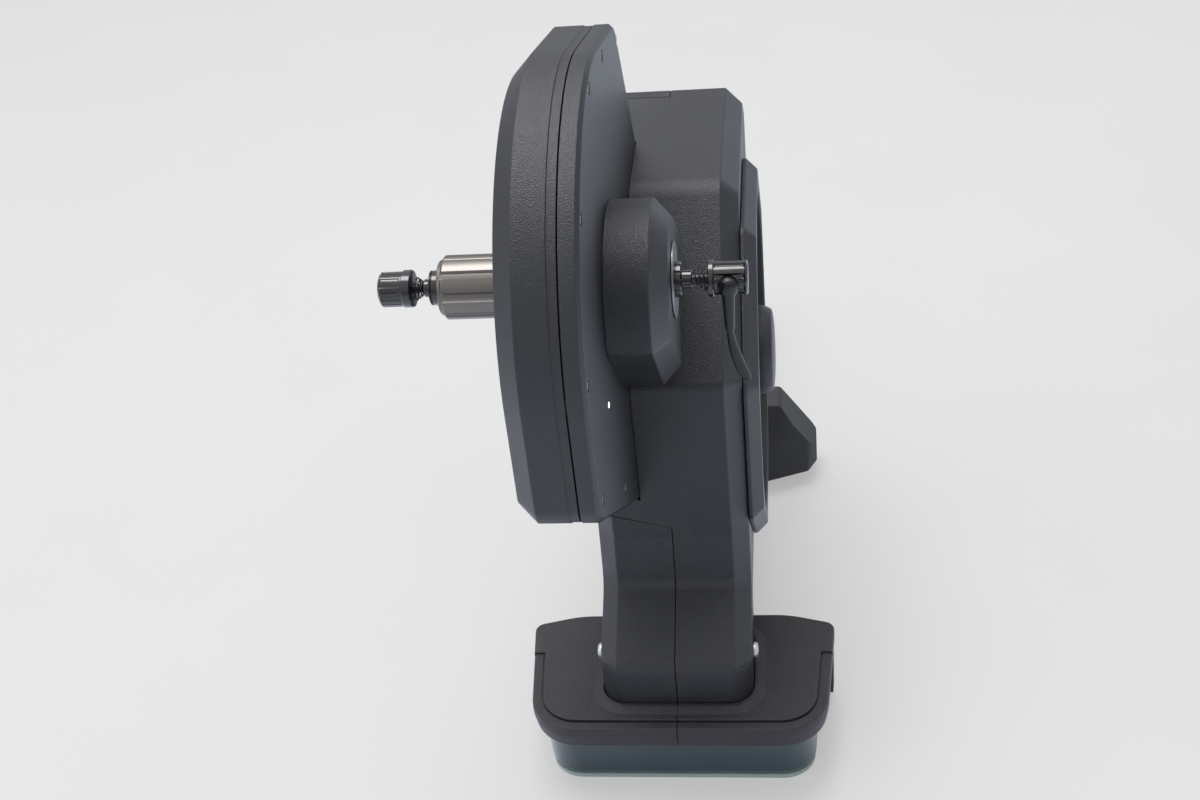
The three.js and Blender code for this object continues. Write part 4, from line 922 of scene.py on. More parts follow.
def body_skin(body):
    """The whole hollow body before it is split into shells."""
    half, flat = body.half_width, body.half_width - body.bevel
    corners = body_corners(body)
    profile = [
        (-half, body.bevel + body.wall), (-half, body.bevel), (-flat, 0),
        (flat, 0), (half, body.bevel), (half, body.bevel + body.wall),
    ]
    skin = side_body("skin", corners, soften(profile, body.softness), 1.6)
    toe_top = body.toe_height - body.toe_step
    carve(skin, block(z=(0, toe_top)))
    toe = plan_body("toe", toe_corners(body), [
        (body.toe_foot, 0), *offsets(toe_top, 0, (-3, 0), (0.5, 0.8)),
    ], 2.0)
    lower = block(y=(body.toe_back - body.bevel, FAR), z=(0, toe_top + 0.5 * MM))
    back = carve(side_body("back", corners, profile), lower, way="INTERSECT")
    carve(skin, toe, back, way="UNION")
    room = side_body("room", corners, [
        (-half + body.wall, body.bevel + body.wall), (-flat + body.wall / 2, body.wall),
        (flat - body.wall / 2, body.wall), (half - body.wall, body.bevel + body.wall),
    ])
    flywheel_hole = bore(flat, half + body.wall, body.shroud_bore, wheel_line(), sides=96)
    rail = block((-body.rail_half, body.rail_half), (body.toe_back - 2 * body.wall, FAR), (0, body.rail_top))
    base = block((-flat, flat), (body.toe_front + body.bevel, body.toe_back - body.wall), (0, 60 * MM))
    return carve(skin, room, flywheel_hole, rail, base)


def above_joint(body, lift):
    """All that lies above the joint across the front, which slants up to the drive side."""
    up = body.seam_height + lift
    corners = ((0, up), (FAR, up), (FAR, FAR), (-FAR, FAR), (-FAR, up + SEAM_SLOPE_SHARE * FAR))
    ring = [Vector(point) for point in corners]
    return loft("above", [(-FAR, ring), (FAR, ring)], rearwards)


def cover_side():
    """Where the body starts beside the belt cover."""
    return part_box("belt_cover_inner")[1].x + CLEARANCE


def cover_block(cover, grow):
    """The belt cover's room, which both shells keep clear of."""
    return side_body("cover_block", cover_corners(cover), [(-FAR, -grow), (cover_side(), -grow)])


def lever_side_zone(body, cover, gap):
    """Where the lever side's shell lies: its half, and all of the front above the joint."""
    side = cover_side()
    over = side + body.wall
    seam_back = body.seam_back + 3 * gap
    wraps = [
        block((-FAR, over), (-FAR, body.wrap_front + gap)),
        block((-FAR, over), (0, seam_back), (body.wrap_height - gap, FAR)),
    ]
    for wrap in wraps:
        carve(wrap, cover_block(cover, CLEARANCE))
    upper = block((side - gap, body.wall), (-FAR, seam_back))
    carve(upper, *wraps, way="UNION")
    carve(upper, above_joint(body, -gap), way="INTERSECT")
    return carve(upper, block(x=(CLEARANCE / 2 - gap, FAR)), way="UNION")


def nose(body):
    """The nose round the axle, with a flat facet under it, which runs back into the slope."""
    along = Vector((cos(NOSE_TILT), -sin(NOSE_TILT)))
    across = Vector((sin(NOSE_TILT), cos(NOSE_TILT)))
    middle = Vector((AXLE.y, AXLE.z)) - across * body.nose_sink
    start = pi / 2 - NOSE_TILT
    angles = [start + (NOSE_CREASE - start) * k / NOSE_STEPS for k in range(NOSE_STEPS + 1)]
    rings = []
    for at, inset in soften([
        (cover_side(), 0), (body.nose_shoulder, 0), (body.nose_face, body.nose_inset),
    ], 1.3 * MM, 5):
        share = inset / body.nose_inset
        radius = body.nose_radius - inset
        ring = [middle + Vector((cos(angle), sin(angle))) * radius for angle in angles]
        chin = middle + CHIN_BEVEL_SHARES * inset - Vector((body.chin_reach, body.chin_drop))
        throat = middle + THROAT_SHARES.lerp(FACE_THROAT_SHARES, share) * body.chin_drop
        back = body.nose_back - share * (body.nose_back - body.nose_end)
        rings.append((at, [*ring, chin, throat, middle + along * back + across * radius]))
    return loft("nose", rings, sideways)


def groove_edges(shell, body):
    """Rounds the long edges along the joints, which lie in the planes that split the shells."""
    planes = [
        lambda p: abs(p.x) < 0.4 * MM,
        lambda p: abs(p.z - body.seam_height - max(0, -p.x) * SEAM_SLOPE_SHARE) < 0.8 * MM and p.x < 0.5 * MM,
        lambda p: abs(p.y - body.seam_back - 0.45 * MM) < 0.6 * MM,
    ]
    ease_edges(shell, body.groove, where=lambda a, b: any(plane(a) and plane(b) for plane in planes))


def screw_hole(body, side, hand):
    """The hole for a neck screw, through the bevelled side of the body."""
    ends = sorted((hand * 40 * MM, hand * (body.half_width + body.screw_lift)))
    return bore(*ends, body.screw_seat, node_line(f"neck_screw_{side}"), sides=32)


def lever_side_shell(body, cover):
    """The lever side's shell with the nose."""
    shell = carve(body_skin(body), lever_side_zone(body, cover, 0), way="INTERSECT")
    groove_edges(shell, body)
    carve(shell, nose(body), way="UNION")
    hole = bore(0, body.nose_face + body.wall, body.axle_hole, axle_line(), sides=48)
    carve(shell, hole, screw_hole(body, "right", 1))
    shell.name = "shell_lever_side"
    return smooth(shell)


def drive_side_shell(body, cover):
    """The drive side's shell under the joint, behind the belt cover."""
    shell = carve(body_skin(body), lever_side_zone(body, cover, CLEARANCE), cover_block(cover, 0))
    groove_edges(shell, body)
    low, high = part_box("power_inlet")
    margin = Vector((1, 1, 1)) * 0.4 * MM
    carve(shell, screw_hole(body, "left", -1), block(*zip(low - margin, high + margin)))
    shell.name = "shell_drive_side"
    return smooth(shell)


def shroud(body):
    """The eight-sided ring round the flywheel."""
    low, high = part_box("flywheel_shroud")
    reach = body.shroud_radius / cos(pi / 8)
    turns = [pi / 4 * (i + 0.5) for i in range(8)]
    corners = [(WHEEL.y + reach * cos(turn), WHEEL.z + reach * sin(turn), 10 * MM) for turn in turns]
    ring = side_body("shroud", corners, soften([
        (low.x, body.wall), *offsets(low.x, 0, (0, 0.2), (0.4, 0)),
        *offsets(high.x, 0, (-7, 0), (0, 7), (0, 10)),
    ], 1.4 * MM), 1.8)
    opening = lathe("opening", [
        (low.x - body.wall, 0), (low.x - body.wall, body.shroud_bore),
        *offsets(high.x, body.shroud_bore, (-1.2, 0), (-0.6, 0.4)),
        (high.x + body.wall, body.shroud_bore + 3 * MM), (high.x + body.wall, 0),
    ], wheel_line(), sides=128)
    return smooth(carve(ring, opening))


class TRAINER_OT_body(Operator):
    """Builds both body shells with the nose, the neck's screws and the flywheel's shroud"""

    bl_idname = "trainer.body"
    bl_label = "Body"

    def execute(self, context):
        body, cover = context.scene.trainer_body, context.scene.trainer_cover
        fit(lever_side_shell(body, cover), "satin_black", "body_shell_right")
        fit(drive_side_shell(body, cover), "satin_black", "body_shell_left")
        fit(shroud(body), "satin_black", "flywheel_shroud")
        for side, hand in SIDES:
            node = f"neck_screw_{side}"
            place = node_line(node)
            place.x = hand * (body.half_width + body.screw_lift)
            screw = socket_screw(f"neck_bolt_{side}", place, hand, body.screw_head, 3.3 * MM, 2.1 * MM)
            fit(screw, "bright_steel", node)
        return {"FINISHED"}


# Flywheel

class TrainerFlywheel(PropertyGroup):
    """Sizes of the flywheel and its cap."""

    radius: length("Radius", "Radius of the flywheel", 99)
    rim: length("Rim", "Width of the heavy rim", 20)
    hub: length("Hub", "Radius of the hub", 28)
    shaft: length("Shaft", "Radius of the hole for the shaft", 8.4)
    web: length("Web", "Thickness of the web", 7)
    set_back: length("Set back", "How far the web lies behind the rim's face", 4)
    cap: length("Cap", "Radius of the cap", 29)
    groove: length("Groove", "Depth of the turned rings", 1.2)
    hub_depth: length("Hub depth", "Length of the hub along the shaft", 14)


def flywheel_body(wheel):
    """The turned cup with its rings."""
    low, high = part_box("flywheel")
    outer, inner = high.x, low.x
    web_right = outer - wheel.set_back
    web_left = web_right - wheel.web
    rim_inner = wheel.radius - wheel.rim
    step = (rim_inner - wheel.hub) / 5
    face = []
    for k in range(4):
        radius = rim_inner - step * (k + 1)
        near, far = (0, wheel.groove) if k % 2 == 0 else (wheel.groove, 0)
        face += [(web_right - near, radius), (web_right - far, radius - 0.8 * MM)]
    profile = soften([
        (outer - wheel.hub_depth, wheel.shaft), (outer - wheel.hub_depth, wheel.hub), (web_left, wheel.hub),
        (web_left, rim_inner), (inner, rim_inner), (inner, wheel.radius - wheel.groove),
        (inner + wheel.groove, wheel.radius), (outer - 2 * wheel.groove, wheel.radius),
        (outer, wheel.radius - 2 * wheel.groove), (outer, rim_inner + wheel.groove), (web_right, rim_inner),
        *face, (web_right, wheel.hub + 1 * MM), (outer, wheel.hub), (outer, wheel.shaft),
    ], 0.7 * MM, 3)
    return smooth(lathe("flywheel_casting", profile, wheel_line(), sides=128, closed=True), 30)


def flywheel_cap(wheel):
    """The cap over the hub: a short flank, a round shoulder and a nearly flat crown."""
    low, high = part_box("flywheel_cap")
    rim, top = low.x + 4 * MM, high.x
    shoulder = [
        (rim + (top - rim) * 0.72 * k / 6, wheel.cap - 2.2 * MM * (k / 6) ** 2) for k in range(1, 7)
    ]
    start, radius = shoulder[-1]
    crown = [
        (start + (top - start) * sin(pi / 2 * k / 10), radius * (1 - (k / 10) ** 2.2 * 0.94))
        for k in range(1, 11)
    ]
    return smooth(lathe("wheel_cap", [
        (low.x, 0), *offsets(low.x, wheel.cap, (0, -1.2), (1.2, 0)), (rim, wheel.cap),
        *shoulder, *crown, (top, 0),
    ], wheel_line(), sides=96))


class TRAINER_OT_flywheel(Operator):
    """Builds the flywheel and its cap"""

    bl_idname = "trainer.flywheel"
    bl_label = "Flywheel"

    def execute(self, context):
        wheel = context.scene.trainer_flywheel
        fit(flywheel_body(wheel), "cast_black", "flywheel")
        fit(flywheel_cap(wheel), "satin_black", "flywheel_cap")
        return {"FINISHED"}


# Axle, freehub and skewer

class TrainerAxle(PropertyGroup):
    """Sizes of the freehub body, the end caps and the quick release."""

    freehub: length("Freehub", "Radius over the splines", 17.3)
    freehub_bore: length("Freehub bore", "Radius of the freehub's bore", 10.2)
    spline: length("Spline", "Depth of the grooves between the splines", 1.3)
    spline_count: IntProperty(name="Splines", description="How many splines", min=3, default=9)
    cap: length("End cap", "Radius of the end caps", 9.4)
    stub: length("Stub", "Radius of the stubs that carry the dropouts", 4.9)
    bore: length("Bore", "Radius of the hole for the skewer", 3)
    rib: length("Rib", "Depth of the ribs on the lever side's cap", 0.8)
    washer: length("Washer", "Radius of the bright washer", 20.5)
    head: length("Head", "Radius of the skewer's head", 9)
    flange: length("Flange", "How far the head's flange stands out", 0.9)
    flute: length("Flute", "Depth of the head's flutes", 1.1)
    flute_count: IntProperty(name="Flutes", description="How many flutes the head has", min=3, default=8)
    nut: length("Nut", "Radius of the skewer's nut", 9.5)
    wire: length("Wire", "Thickness of the springs' wire", 0.9)
    spring_start: length("Spring start", "Radius of the springs' small ends", 3.6)
    spring_end: length("Spring end", "Radius of the springs' wide ends", 6.6)
    cap_room: length("Cap room", "Radius of the hollow in the ribbed cap", 6.4)
    washer_hole: length("Washer hole", "Radius of the washer's hole", 9.8)
    lever_length: length("Lever length", "From the head's middle to the lever's tip", 57)
    lever_sweep: length("Lever sweep", "How far the tip curls out", 8)
    lever_root: length("Lever root", "Radius of the lever's domed root", 5.6)


def freehub_body(axle):
    """The splined carrier, chamfered at its free end."""
    low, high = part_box("freehub_body")
    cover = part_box("belt_cover_outer")[0].x
    top = axle.freehub
    return smooth(fluted("freehub_splines", [
        (low.x, axle.freehub_bore),
        *offsets(low.x, top, (0, -3.2), (0.5, -2.5), (2, -2.2), (2.3, -1.4, 0.05), (3.2, -0.25, 0.9)),
        (low.x + 3.8 * MM, top, 1),
        *offsets(cover, top, (-3, 0, 1), (-1.6, -0.1, 0.9), (-1, -0.6, 0.1), (0, -0.6)),
        (high.x, top - 0.6 * MM), (high.x, axle.freehub_bore),
    ], axle_line(), axle.spline_count, axle.spline, 0.44, fineness=18, closed=True), 24)


def ribbed_cap(axle):
    """The ribbed cap on the lever side, with the stub for the dropout."""
    low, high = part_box("lever_end_cap")
    face = high.x - 5.5 * MM
    top, stub, hole = axle.cap, axle.stub, axle.bore
    return smooth(fluted("cap_ribbed", [
        (low.x, axle.cap_room), *offsets(low.x, top, (0, -0.5, 1), (0.4, 0, 1)),
        *offsets(face, top, (-0.4, 0, 1), (0, -0.5, 1)),
        *offsets(face, stub, (0, 1), (0, -0.3, 0.2), (0.3, 0, 0.7)),
        *offsets(high.x, stub, (-0.5, 0, 0.7), (0, -0.6, 0.4)),
        (high.x, hole), (high.x - 4 * MM, hole), (low.x + 2 * MM, axle.cap_room),
    ], axle_line(), 12, axle.rib, 0.4, fineness=10, closed=True), 26)


def plain_cap(axle):
    """The plain cap beside the freehub, with a turned groove."""
    low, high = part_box("drive_end_cap")
    face = low.x + 3.5 * MM
    top, stub, hole = axle.cap, axle.stub, axle.bore
    return smooth(lathe("cap_plain", soften([
        (high.x, 6.5 * MM), (high.x, top),
        *offsets(face, top, (1.6, 0), (1.6, -0.7), (0.9, -0.7), (0.9, 0), (0, 0)),
        (face, stub), (low.x, stub), (low.x, hole), (low.x + 2 * MM, hole), (low.x + 4 * MM, 6.5 * MM),
    ], 0.35 * MM), axle_line(), closed=True), 26)


def washer(axle):
    """The bright washer on the nose's face."""
    low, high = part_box("axle_washer")
    hole = axle.washer_hole
    return smooth(lathe("washer", soften([
        (low.x, hole), (low.x, axle.washer), (high.x, axle.washer), (high.x, hole),
    ], 0.25 * MM), axle_line(), sides=96, closed=True))


def cam_line():
    """A point on the lever's pivot, for bodies turned along Y."""
    return Vector((joint_place("lever_swing").x, AXLE.y, AXLE.z))


def skewer_head(axle):
    """The fluted head between its flange and its end rim, with the bore for the lever's cam."""
    low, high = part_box("skewer_head")
    top, wide = axle.head, axle.head + axle.flange
    head = fluted("head", [
        (low.x, 0), *offsets(low.x, wide, (0, -0.5), (0.4, 0), (2.5, 0), (2.9, -0.4)),
        *offsets(low.x, top, (3, 0), (3.3, 0, 0.8), (4.2, 0, 1)),
        *offsets(high.x, top, (-3.4, 0, 1), (-2.4, 0, 0.7), (-1.9, 0), (-1.4, 0.25), (-0.7, 0)),
        *offsets(high.x, top, (-0.2, -0.7), (-0.35, -1.6), (-0.6, -4)), (high.x - 0.7 * MM, 0),
    ], axle_line(), axle.flute_count, axle.flute)
    hole = bore(-top - 2 * MM, 5.3 * MM, 5.3 * MM, cam_line(), axis="Y", sides=40)
    return smooth(carve(head, hole), 26)


LEVER_BEND_SHARE, LEVER_PADDLE_SHARE, LEVER_TIP_SHARE = 0.42, 0.45, 0.93


def lever_section(along, root):
    """Half width and half depth of the lever's arm at a share of its length."""
    if along < LEVER_BEND_SHARE:
        share = along / LEVER_BEND_SHARE
        return root * (0.62 - 0.16 * share), (1.9 - 0.15 * share) * MM
    if along < LEVER_PADDLE_SHARE:
        share = (along - LEVER_BEND_SHARE) / (LEVER_PADDLE_SHARE - LEVER_BEND_SHARE)
        return root * (0.46 - 0.14 * share), (1.75 - 0.35 * share) * MM
    share = (along - LEVER_PADDLE_SHARE) / (1 - LEVER_PADDLE_SHARE)
    return root * (0.32 + 0.24 * sin(pi * min(1, share * 1.3) / 2)), (1.4 + 0.35 * share) * MM


def rounded(value, power):
    """A sine or cosine bent towards a fuller section."""
    return math.copysign(abs(value) ** power, value)


def lever(axle):
    """A cam shaft, a domed glossy root and a slim arm that widens into a curled paddle."""
    centre = cam_line()
    front = -axle.head - 0.3 * MM
    root = axle.lever_root
    dome = [(1.6, 0.98), (2.8, 0.88), (3.8, 0.68), (4.3, 0.42), (4.5, 0)]
    shaft = lathe("lever_cam", [
        *offsets(front, 0, (14, 0), (14, 4.6), (13.5, 5), (0, 5)),
        *offsets(front, root, (0, -0.3), (-0.4, 0)), *((front - out * MM, root * share) for out, share in dome),
    ], centre, axis="Y", sides=48)
    rows = []
    sides, steps = 24, 66
    for k in range(steps + 1):
        along = k / steps
        width, depth = lever_section(along, root)
        end = 1.0
        if along > LEVER_TIP_SHARE:
            past = (along - LEVER_TIP_SHARE) / (1 - LEVER_TIP_SHARE)
            end = math.sqrt(max(0.0, 1 - past ** 2)) * 0.85 + 0.15
        shift = axle.lever_sweep * max(0, (along - LEVER_BEND_SHARE) / (1 - LEVER_BEND_SHARE)) ** 1.7
        middle = centre + Vector((shift, front - 2.25 * MM, -axle.lever_length * along))
        turns = [2 * pi * i / sides for i in range(sides)]
        rows.append([middle + Vector((
            rounded(cos(turn), 0.8) * width * end, rounded(sin(turn), 0.9) * depth * end, 0,
        )) for turn in turns])
    return smooth(carve(tube_of_rings("lever_arm", rows), shaft, way="UNION"), 40)


def nut(axle):
    """The domed nut with its collar and a ring of fine ribs."""
    low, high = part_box("skewer_nut")
    left, right = low.x, high.x
    top, collar = axle.nut, axle.nut + 0.7 * MM
    return smooth(fluted("nut", [
        (left, 0), (left, top * 0.62), (left + 0.25 * MM, top * 0.76), (left + 0.8 * MM, top * 0.88),
        *offsets(left, top, (1.8, 0), (2.6, 0, 0.8)),
        *offsets(right, top, (-6.9, 0, 0.8), (-6.2, 0), (-5.5, 0)),
        *offsets(right, collar, (-5.4, -0.3), (-5, 0), (-1, 0), (-0.3, -0.4), (0, -1.2)),
        *offsets(right, 0, (0, 2.9), (-11, 2.9), (-11, 0)),
    ], axle_line(), 16, 0.5 * MM, fineness=8), 26)


def spring(name, axle, start, end):
    """A conical coil spring of round wire with closed ends."""
    wire = axle.wire / 2
    hand = math.copysign(1, end - start)
    steps, sides, curls = 96, 10, 3
    centres = []
    for k in range(steps + 1):
        share = k / steps
        turn = 2 * pi * curls * share
        radius = axle.spring_start + (axle.spring_end - axle.spring_start) * share
        along = start + hand * wire + (end - start - 2 * hand * wire) * share
        centres.append(Vector((along, AXLE.y + radius * cos(turn), AXLE.z + radius * sin(turn))))
    rings = []
    turns = [2 * pi * i / sides for i in range(sides)]
    for k, centre in enumerate(centres):
        way = (centres[min(k + 1, steps)] - centres[max(k - 1, 0)]).normalized()
        out = (Vector((1, 0, 0)) - way * way.x).normalized()
        side = out.cross(way)
        rings.append([centre + (out * cos(turn) + side * sin(turn)) * wire for turn in turns])
    return smooth(tube_of_rings(name, rings))


class TRAINER_OT_axle(Operator):
    """Builds the freehub body, the end caps, the washer and the quick release"""

    bl_idname = "trainer.axle"
    bl_label = "Axle and skewer"

    def execute(self, context):
        axle = context.scene.trainer_axle
        for make, finish, node in (
            (freehub_body, "grey_alloy", "freehub_body"), (ribbed_cap, "smooth_black", "lever_end_cap"),
            (plain_cap, "smooth_black", "drive_end_cap"), (washer, "dull_steel", "axle_washer"),
            (skewer_head, "smooth_black", "skewer_head"), (lever, "lever_black", "skewer_lever"),
            (nut, "smooth_black", "skewer_nut"),
        ):
            fit(make(axle), finish, node)
        low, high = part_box("lever_spring")
        fit(spring("spring_lever_side", axle, low.x, high.x), "spring_steel", "lever_spring")
        low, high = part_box("drive_spring")
        fit(spring("spring_drive_side", axle, high.x, low.x), "spring_steel", "drive_spring")
        return {"FINISHED"}


# Front foot

class TrainerFoot(PropertyGroup):
    """Sizes of the foot's base, sole and moulded cover."""

    front_half: length("Front half width", "Half the width at the front", 90)
    side_half: length("Side half width", "Half the width at the widest place", 98)
    back_half: length("Back half width", "Half the width at the back", 68)
    front: length("Front", "Place of the front face", -49)
    side_back: length("Side back", "Where the sides turn in to the back", 43.5)
    back: length("Back", "Place of the back edge", 52)
    top: length("Top", "Height of the cover's rim", 53)
    bottom: length("Bottom", "Height of the cover's lower edge", 37.3)
    wall: length("Wall", "Thickness of the cover", 3)
    edge: length("Edge", "Rounding of the upper edge", 2.5)
    panel: length("Panel inset", "How far the raised panel lies in from the edge", 7)
    rise: length("Panel rise", "Height of the raised panel over the rim", 1.4)
    collar: length("Collar", "Width of the collar round the neck", 7)
    collar_rise: length("Collar rise", "Height of the collar over the rim", 4)
    collar_gap: length("Collar gap", "Gap between the collar and the neck", 0.8)
    skirt_reach: length("Skirt", "How far the skirts reach forward from the sides' back", 15.5)
    shoulder_front: length("Shoulder", "Where the raised shoulder behind the panel starts", 17)
    rail_floor: length("Rail floor", "Lower edge of the opening for the rail", 37.7)
    base_half: length("Base half width", "Half the width of the painted base", 85)
    base_front: length("Base front", "Front of the painted base", -41)
    base_back: length("Base back", "Back of the painted base", 44)
    base_top: length("Base top", "Height of the painted base", 36.9)
    sole: length("Sole", "Thickness of the sole", 3)


def foot_corners(foot):
    front, side, back = foot.front_half, foot.side_half, foot.back_half
    return [
        (-front, foot.front, 30 * MM), (front, foot.front, 30 * MM), (side, foot.side_back, 7 * MM),
        (back, foot.back, 60 * MM), (-back, foot.back, 60 * MM), (-side, foot.side_back, 7 * MM),
    ]


def base_corners(foot):
    half, front, back = foot.base_half, foot.base_front, foot.base_back
    return [(-half, front, 22 * MM), (half, front, 22 * MM), (half, back, 10 * MM), (-half, back, 10 * MM)]


def foot_cover(foot, body):
    """The whole moulded cover before it is split in the middle."""
    corners = foot_corners(foot)
    wall, top, under, panel_top = foot.wall, foot.top, foot.top - foot.edge, foot.top + foot.rise

    def raised(name, side, crown, softness):
        profile = [(under, side), (panel_top, side), (panel_top, crown)]
        return plan_body(name, corners, soften(profile, softness), 1.6)

    cover = plan_body("cover", corners, soften([
        (foot.bottom, wall), (foot.bottom, 1.6 * MM), (under - 4 * MM, 0), (top, 0.2 * MM),
        (top, foot.edge + wall),
    ], 1.8 * MM), 1.6)
    panel = raised("panel", foot.panel, foot.panel + wall, 0.7 * MM)
    shoulder = raised("shoulder", 0.1 * MM, foot.edge + wall, 1.6 * MM)
    carve(shoulder, block(y=(foot.shoulder_front, FAR)), way="INTERSECT")
    groove = carve(
        prism(corners, top - 0.9 * MM, top + wall, foot.panel - 1 * MM, 1.6),
        prism(corners, top - wall, top + 2 * wall, foot.panel, 1.6),
        block(y=(foot.shoulder_front - 1 * MM, FAR)),
    )
    reach = foot.collar_gap + foot.collar
    collar_top = top + foot.collar_rise
    rim = plan_body("rim", toe_corners(body), soften([
        (under, -reach), (panel_top, -reach),
        *offsets(collar_top, foot.collar - reach, (-0.2, -2.4), (0, -1.2), (0, 2)),
    ], 0.6 * MM), 2.0)
    carve(rim, prism(corners, 0, FAR, foot.edge), way="INTERSECT")
    carve(cover, groove)
    carve(cover, panel, shoulder, rim, way="UNION")
    room = plan_body("room", corners, [(0, wall + 1.6 * MM), (top - wall, wall + 1 * MM)])
    skirt = carve(
        prism(corners, 7 * MM, foot.bottom + 0.6 * MM, 0.6 * MM),
        prism(corners, 0, foot.bottom + wall, wall), block(y=(-FAR, foot.side_back - foot.skirt_reach)),
    )
    carve(cover, room)
    carve(cover, skirt, way="UNION")
    hole = prism(toe_corners(body), 0, FAR, -foot.collar_gap, 2.0)
    rail = block((-body.rail_half, body.rail_half), (body.toe_front, FAR), (foot.rail_floor, body.rail_top))
    return carve(cover, hole, rail)


def foot_half(foot, body, side, hand):
    """One half of the cover, rounded along the joint in the middle."""
    half = foot_cover(foot, body)
    carve(half, block(x=sorted((hand * CLEARANCE / 2, hand * FAR))), way="INTERSECT")
    ease_edges(half, 0.45 * MM, where=lambda a, b: abs(a.x) < 0.3 * MM and abs(b.x) < 0.3 * MM)
    half.name = f"foot_half_{side}"
    return smooth(half)


def foot_base(foot):
    """The painted pressed base with its rounded lower and upper edges."""
    return smooth(plan_body("base", base_corners(foot), soften([
        *offsets(0, 0, (3.3, 5), (3.3, 2.6), (7, 0.8), (20, 0)), (foot.base_top, 0), (foot.base_top, 3 * MM),
    ], 1.2 * MM), 1.8))


def foot_sole(foot):
    """The rubber sole, drawn in a little under the base."""
    return smooth(plan_body("sole", base_corners(foot), soften([
        *offsets(0, 0, (0, 6), (0, 1.9), (0.5, 1.5)), *offsets(foot.sole, 0, (0, 1.5), (0, 6)),
    ], 0.3 * MM), 1.8))


class TRAINER_OT_front_foot(Operator):
    """Builds the front foot's cover, base and sole"""

    bl_idname = "trainer.front_foot"
    bl_label = "Front foot"

    def execute(self, context):
        foot, body = context.scene.trainer_foot, context.scene.trainer_body
        for side, hand in SIDES:
            fit(foot_half(foot, body, side, hand), "foot_black", f"foot_cover_{side}")
        fit(foot_base(foot), "petrol_paint", "base_plate")
        fit(foot_sole(foot), "pale_sole", "rubber_sole")
        return {"FINISHED"}


# Rear legs

class TrainerLegs(PropertyGroup):
    """Sizes of the folding legs and their levelling feet."""

    inner: length("Inner side", "Inner side of a folded leg", 14)
    outer: length("Outer side", "Outer side of a folded leg", 41)
    tip: length("Tip", "Back end of a folded leg", 522)
    knuckle: length("Knuckle", "Radius of the knuckle on the pin", 15)
    bottom: length("Bottom", "Underside of a leg", 20.3)
    root_top: length("Root top", "Height of a leg beside its knuckle", 50)
    tip_top: length("Tip top", "Height of a leg at its tip", 38)
    knuckle_top: length("Knuckle top", "Height of the knuckle", 57.7)
    softness: length("Softness", "Rounding of a leg's edges", 3)
    pocket: length("Pocket", "Depth of the hollows in a leg's underside", 12)
    pocket_length: length("Pocket length", "Length of each hollow", 48)
    pocket_width: length("Pocket width", "Width of each hollow", 18)
    rib: length("Rib", "Wall between two hollows", 4)
    pin_hole: length("Pin hole", "Radius of the hole for the pin", 5.3)
    stud_hole: length("Stud hole", "Radius of the hole for the levelling stud", 4.3)
    stud: length("Stud", "Radius of the hole in the levelling knobs", 4.4)
    knob: length("Knob", "Radius of the levelling knobs", 15)
    pad: length("Pad", "Radius of the levelling pads", 13)


def level_place(side):
    """Where a levelling foot's axis stands on the floor."""
    joint = joint_place(f"{side}_level_turn")
    return Vector((joint.x, joint.y, 0))


def leg(legs, side):
    """A long tapering arm on its round knuckle, hollowed along the underside."""
    pin = Vector((LEG_PIN.x, LEG_PIN.y, 0))
    root = pin.y + 2 * legs.knuckle
    corners = [
        (legs.inner, pin.y + legs.knuckle * 0.6, 4 * MM), (pin.x, pin.y, LEAST_FILLET),
        (pin.x + legs.knuckle, pin.y, 4 * MM), (legs.outer + 4 * MM, root, legs.knuckle),
        (legs.outer, legs.tip, 13 * MM), (legs.inner, legs.tip, 13 * MM),
    ]
    profile = soften([
        (0, legs.softness), (0, 1.2 * MM), (0.15, 0.2 * MM), (0.85, 0.2 * MM), (1, 1.8 * MM),
        (1, legs.softness * 2),
    ], 0.02)

    def place(across, back, height):
        share = max(0, (back - root) / (legs.tip - root))
        top = legs.root_top + (legs.tip_top - legs.root_top) * share
        return (across, back, legs.bottom + (top - legs.bottom) * height)

    arm = loft("leg", [(height, outline(corners, inset, 1.6)) for height, inset in profile], place)
    knuckle = lathe("knuckle", soften([
        (legs.bottom, 0), (legs.bottom, legs.knuckle), (legs.knuckle_top, legs.knuckle),
        (legs.knuckle_top, 0),
    ], 1.2 * MM), pin, "Z")
    carve(arm, knuckle, way="UNION")
    middle, half = (legs.inner + legs.outer) / 2, legs.pocket_width / 2
    starts = [root + 12 * MM + (legs.pocket_length + legs.rib) * k for k in range(3)]
    roof = legs.bottom + legs.pocket
    slots = [
        block((middle - half, middle + half), (start, start + legs.pocket_length), (0, roof))
        for start in starts
    ]
    pin_hole = bore(0, FAR, legs.pin_hole, pin, axis="Z", sides=32)
    stud_hole = bore(0, FAR, legs.stud_hole, level_place("right"), axis="Z", sides=32)
    carve(arm, *slots, pin_hole, stud_hole)
    if side == "left":
        arm.data.transform(Matrix.Scale(-1, 4, (1, 0, 0)))
        arm.data.flip_normals()
    arm.name = f"arm_{side}"
    return smooth(arm)


def level_knob(legs, side):
    low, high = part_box(f"level_knob_{side}")
    return smooth(fluted(f"knob_{side}", [
        (low.z, legs.stud), *offsets(low.z, legs.knob, (0, -1.2, 0.6), (0.8, -0.2, 1)),
        *offsets(high.z, legs.knob, (-1, -0.2, 1), (0, -1.4, 0.6)), (high.z, legs.stud),
    ], level_place(side), 10, 1.1 * MM, 0.4, "Z", 14, closed=True))


def level_pad(legs, side):
    """A rubber pad with a ring hollowed in its underside."""
    return smooth(lathe(f"pad_{side}", soften([
        *offsets(0, 0, (0, 0), (0, 7), (0.8, 7.6), (0.8, 9), (0, 9.6)),
        *offsets(0, legs.pad, (0, -0.6), (1.2, 0)),
        (4 * MM, legs.pad * 0.94), (8 * MM, legs.pad * 0.8), (8 * MM, 0),
    ], 0.5 * MM), level_place(side), "Z"))


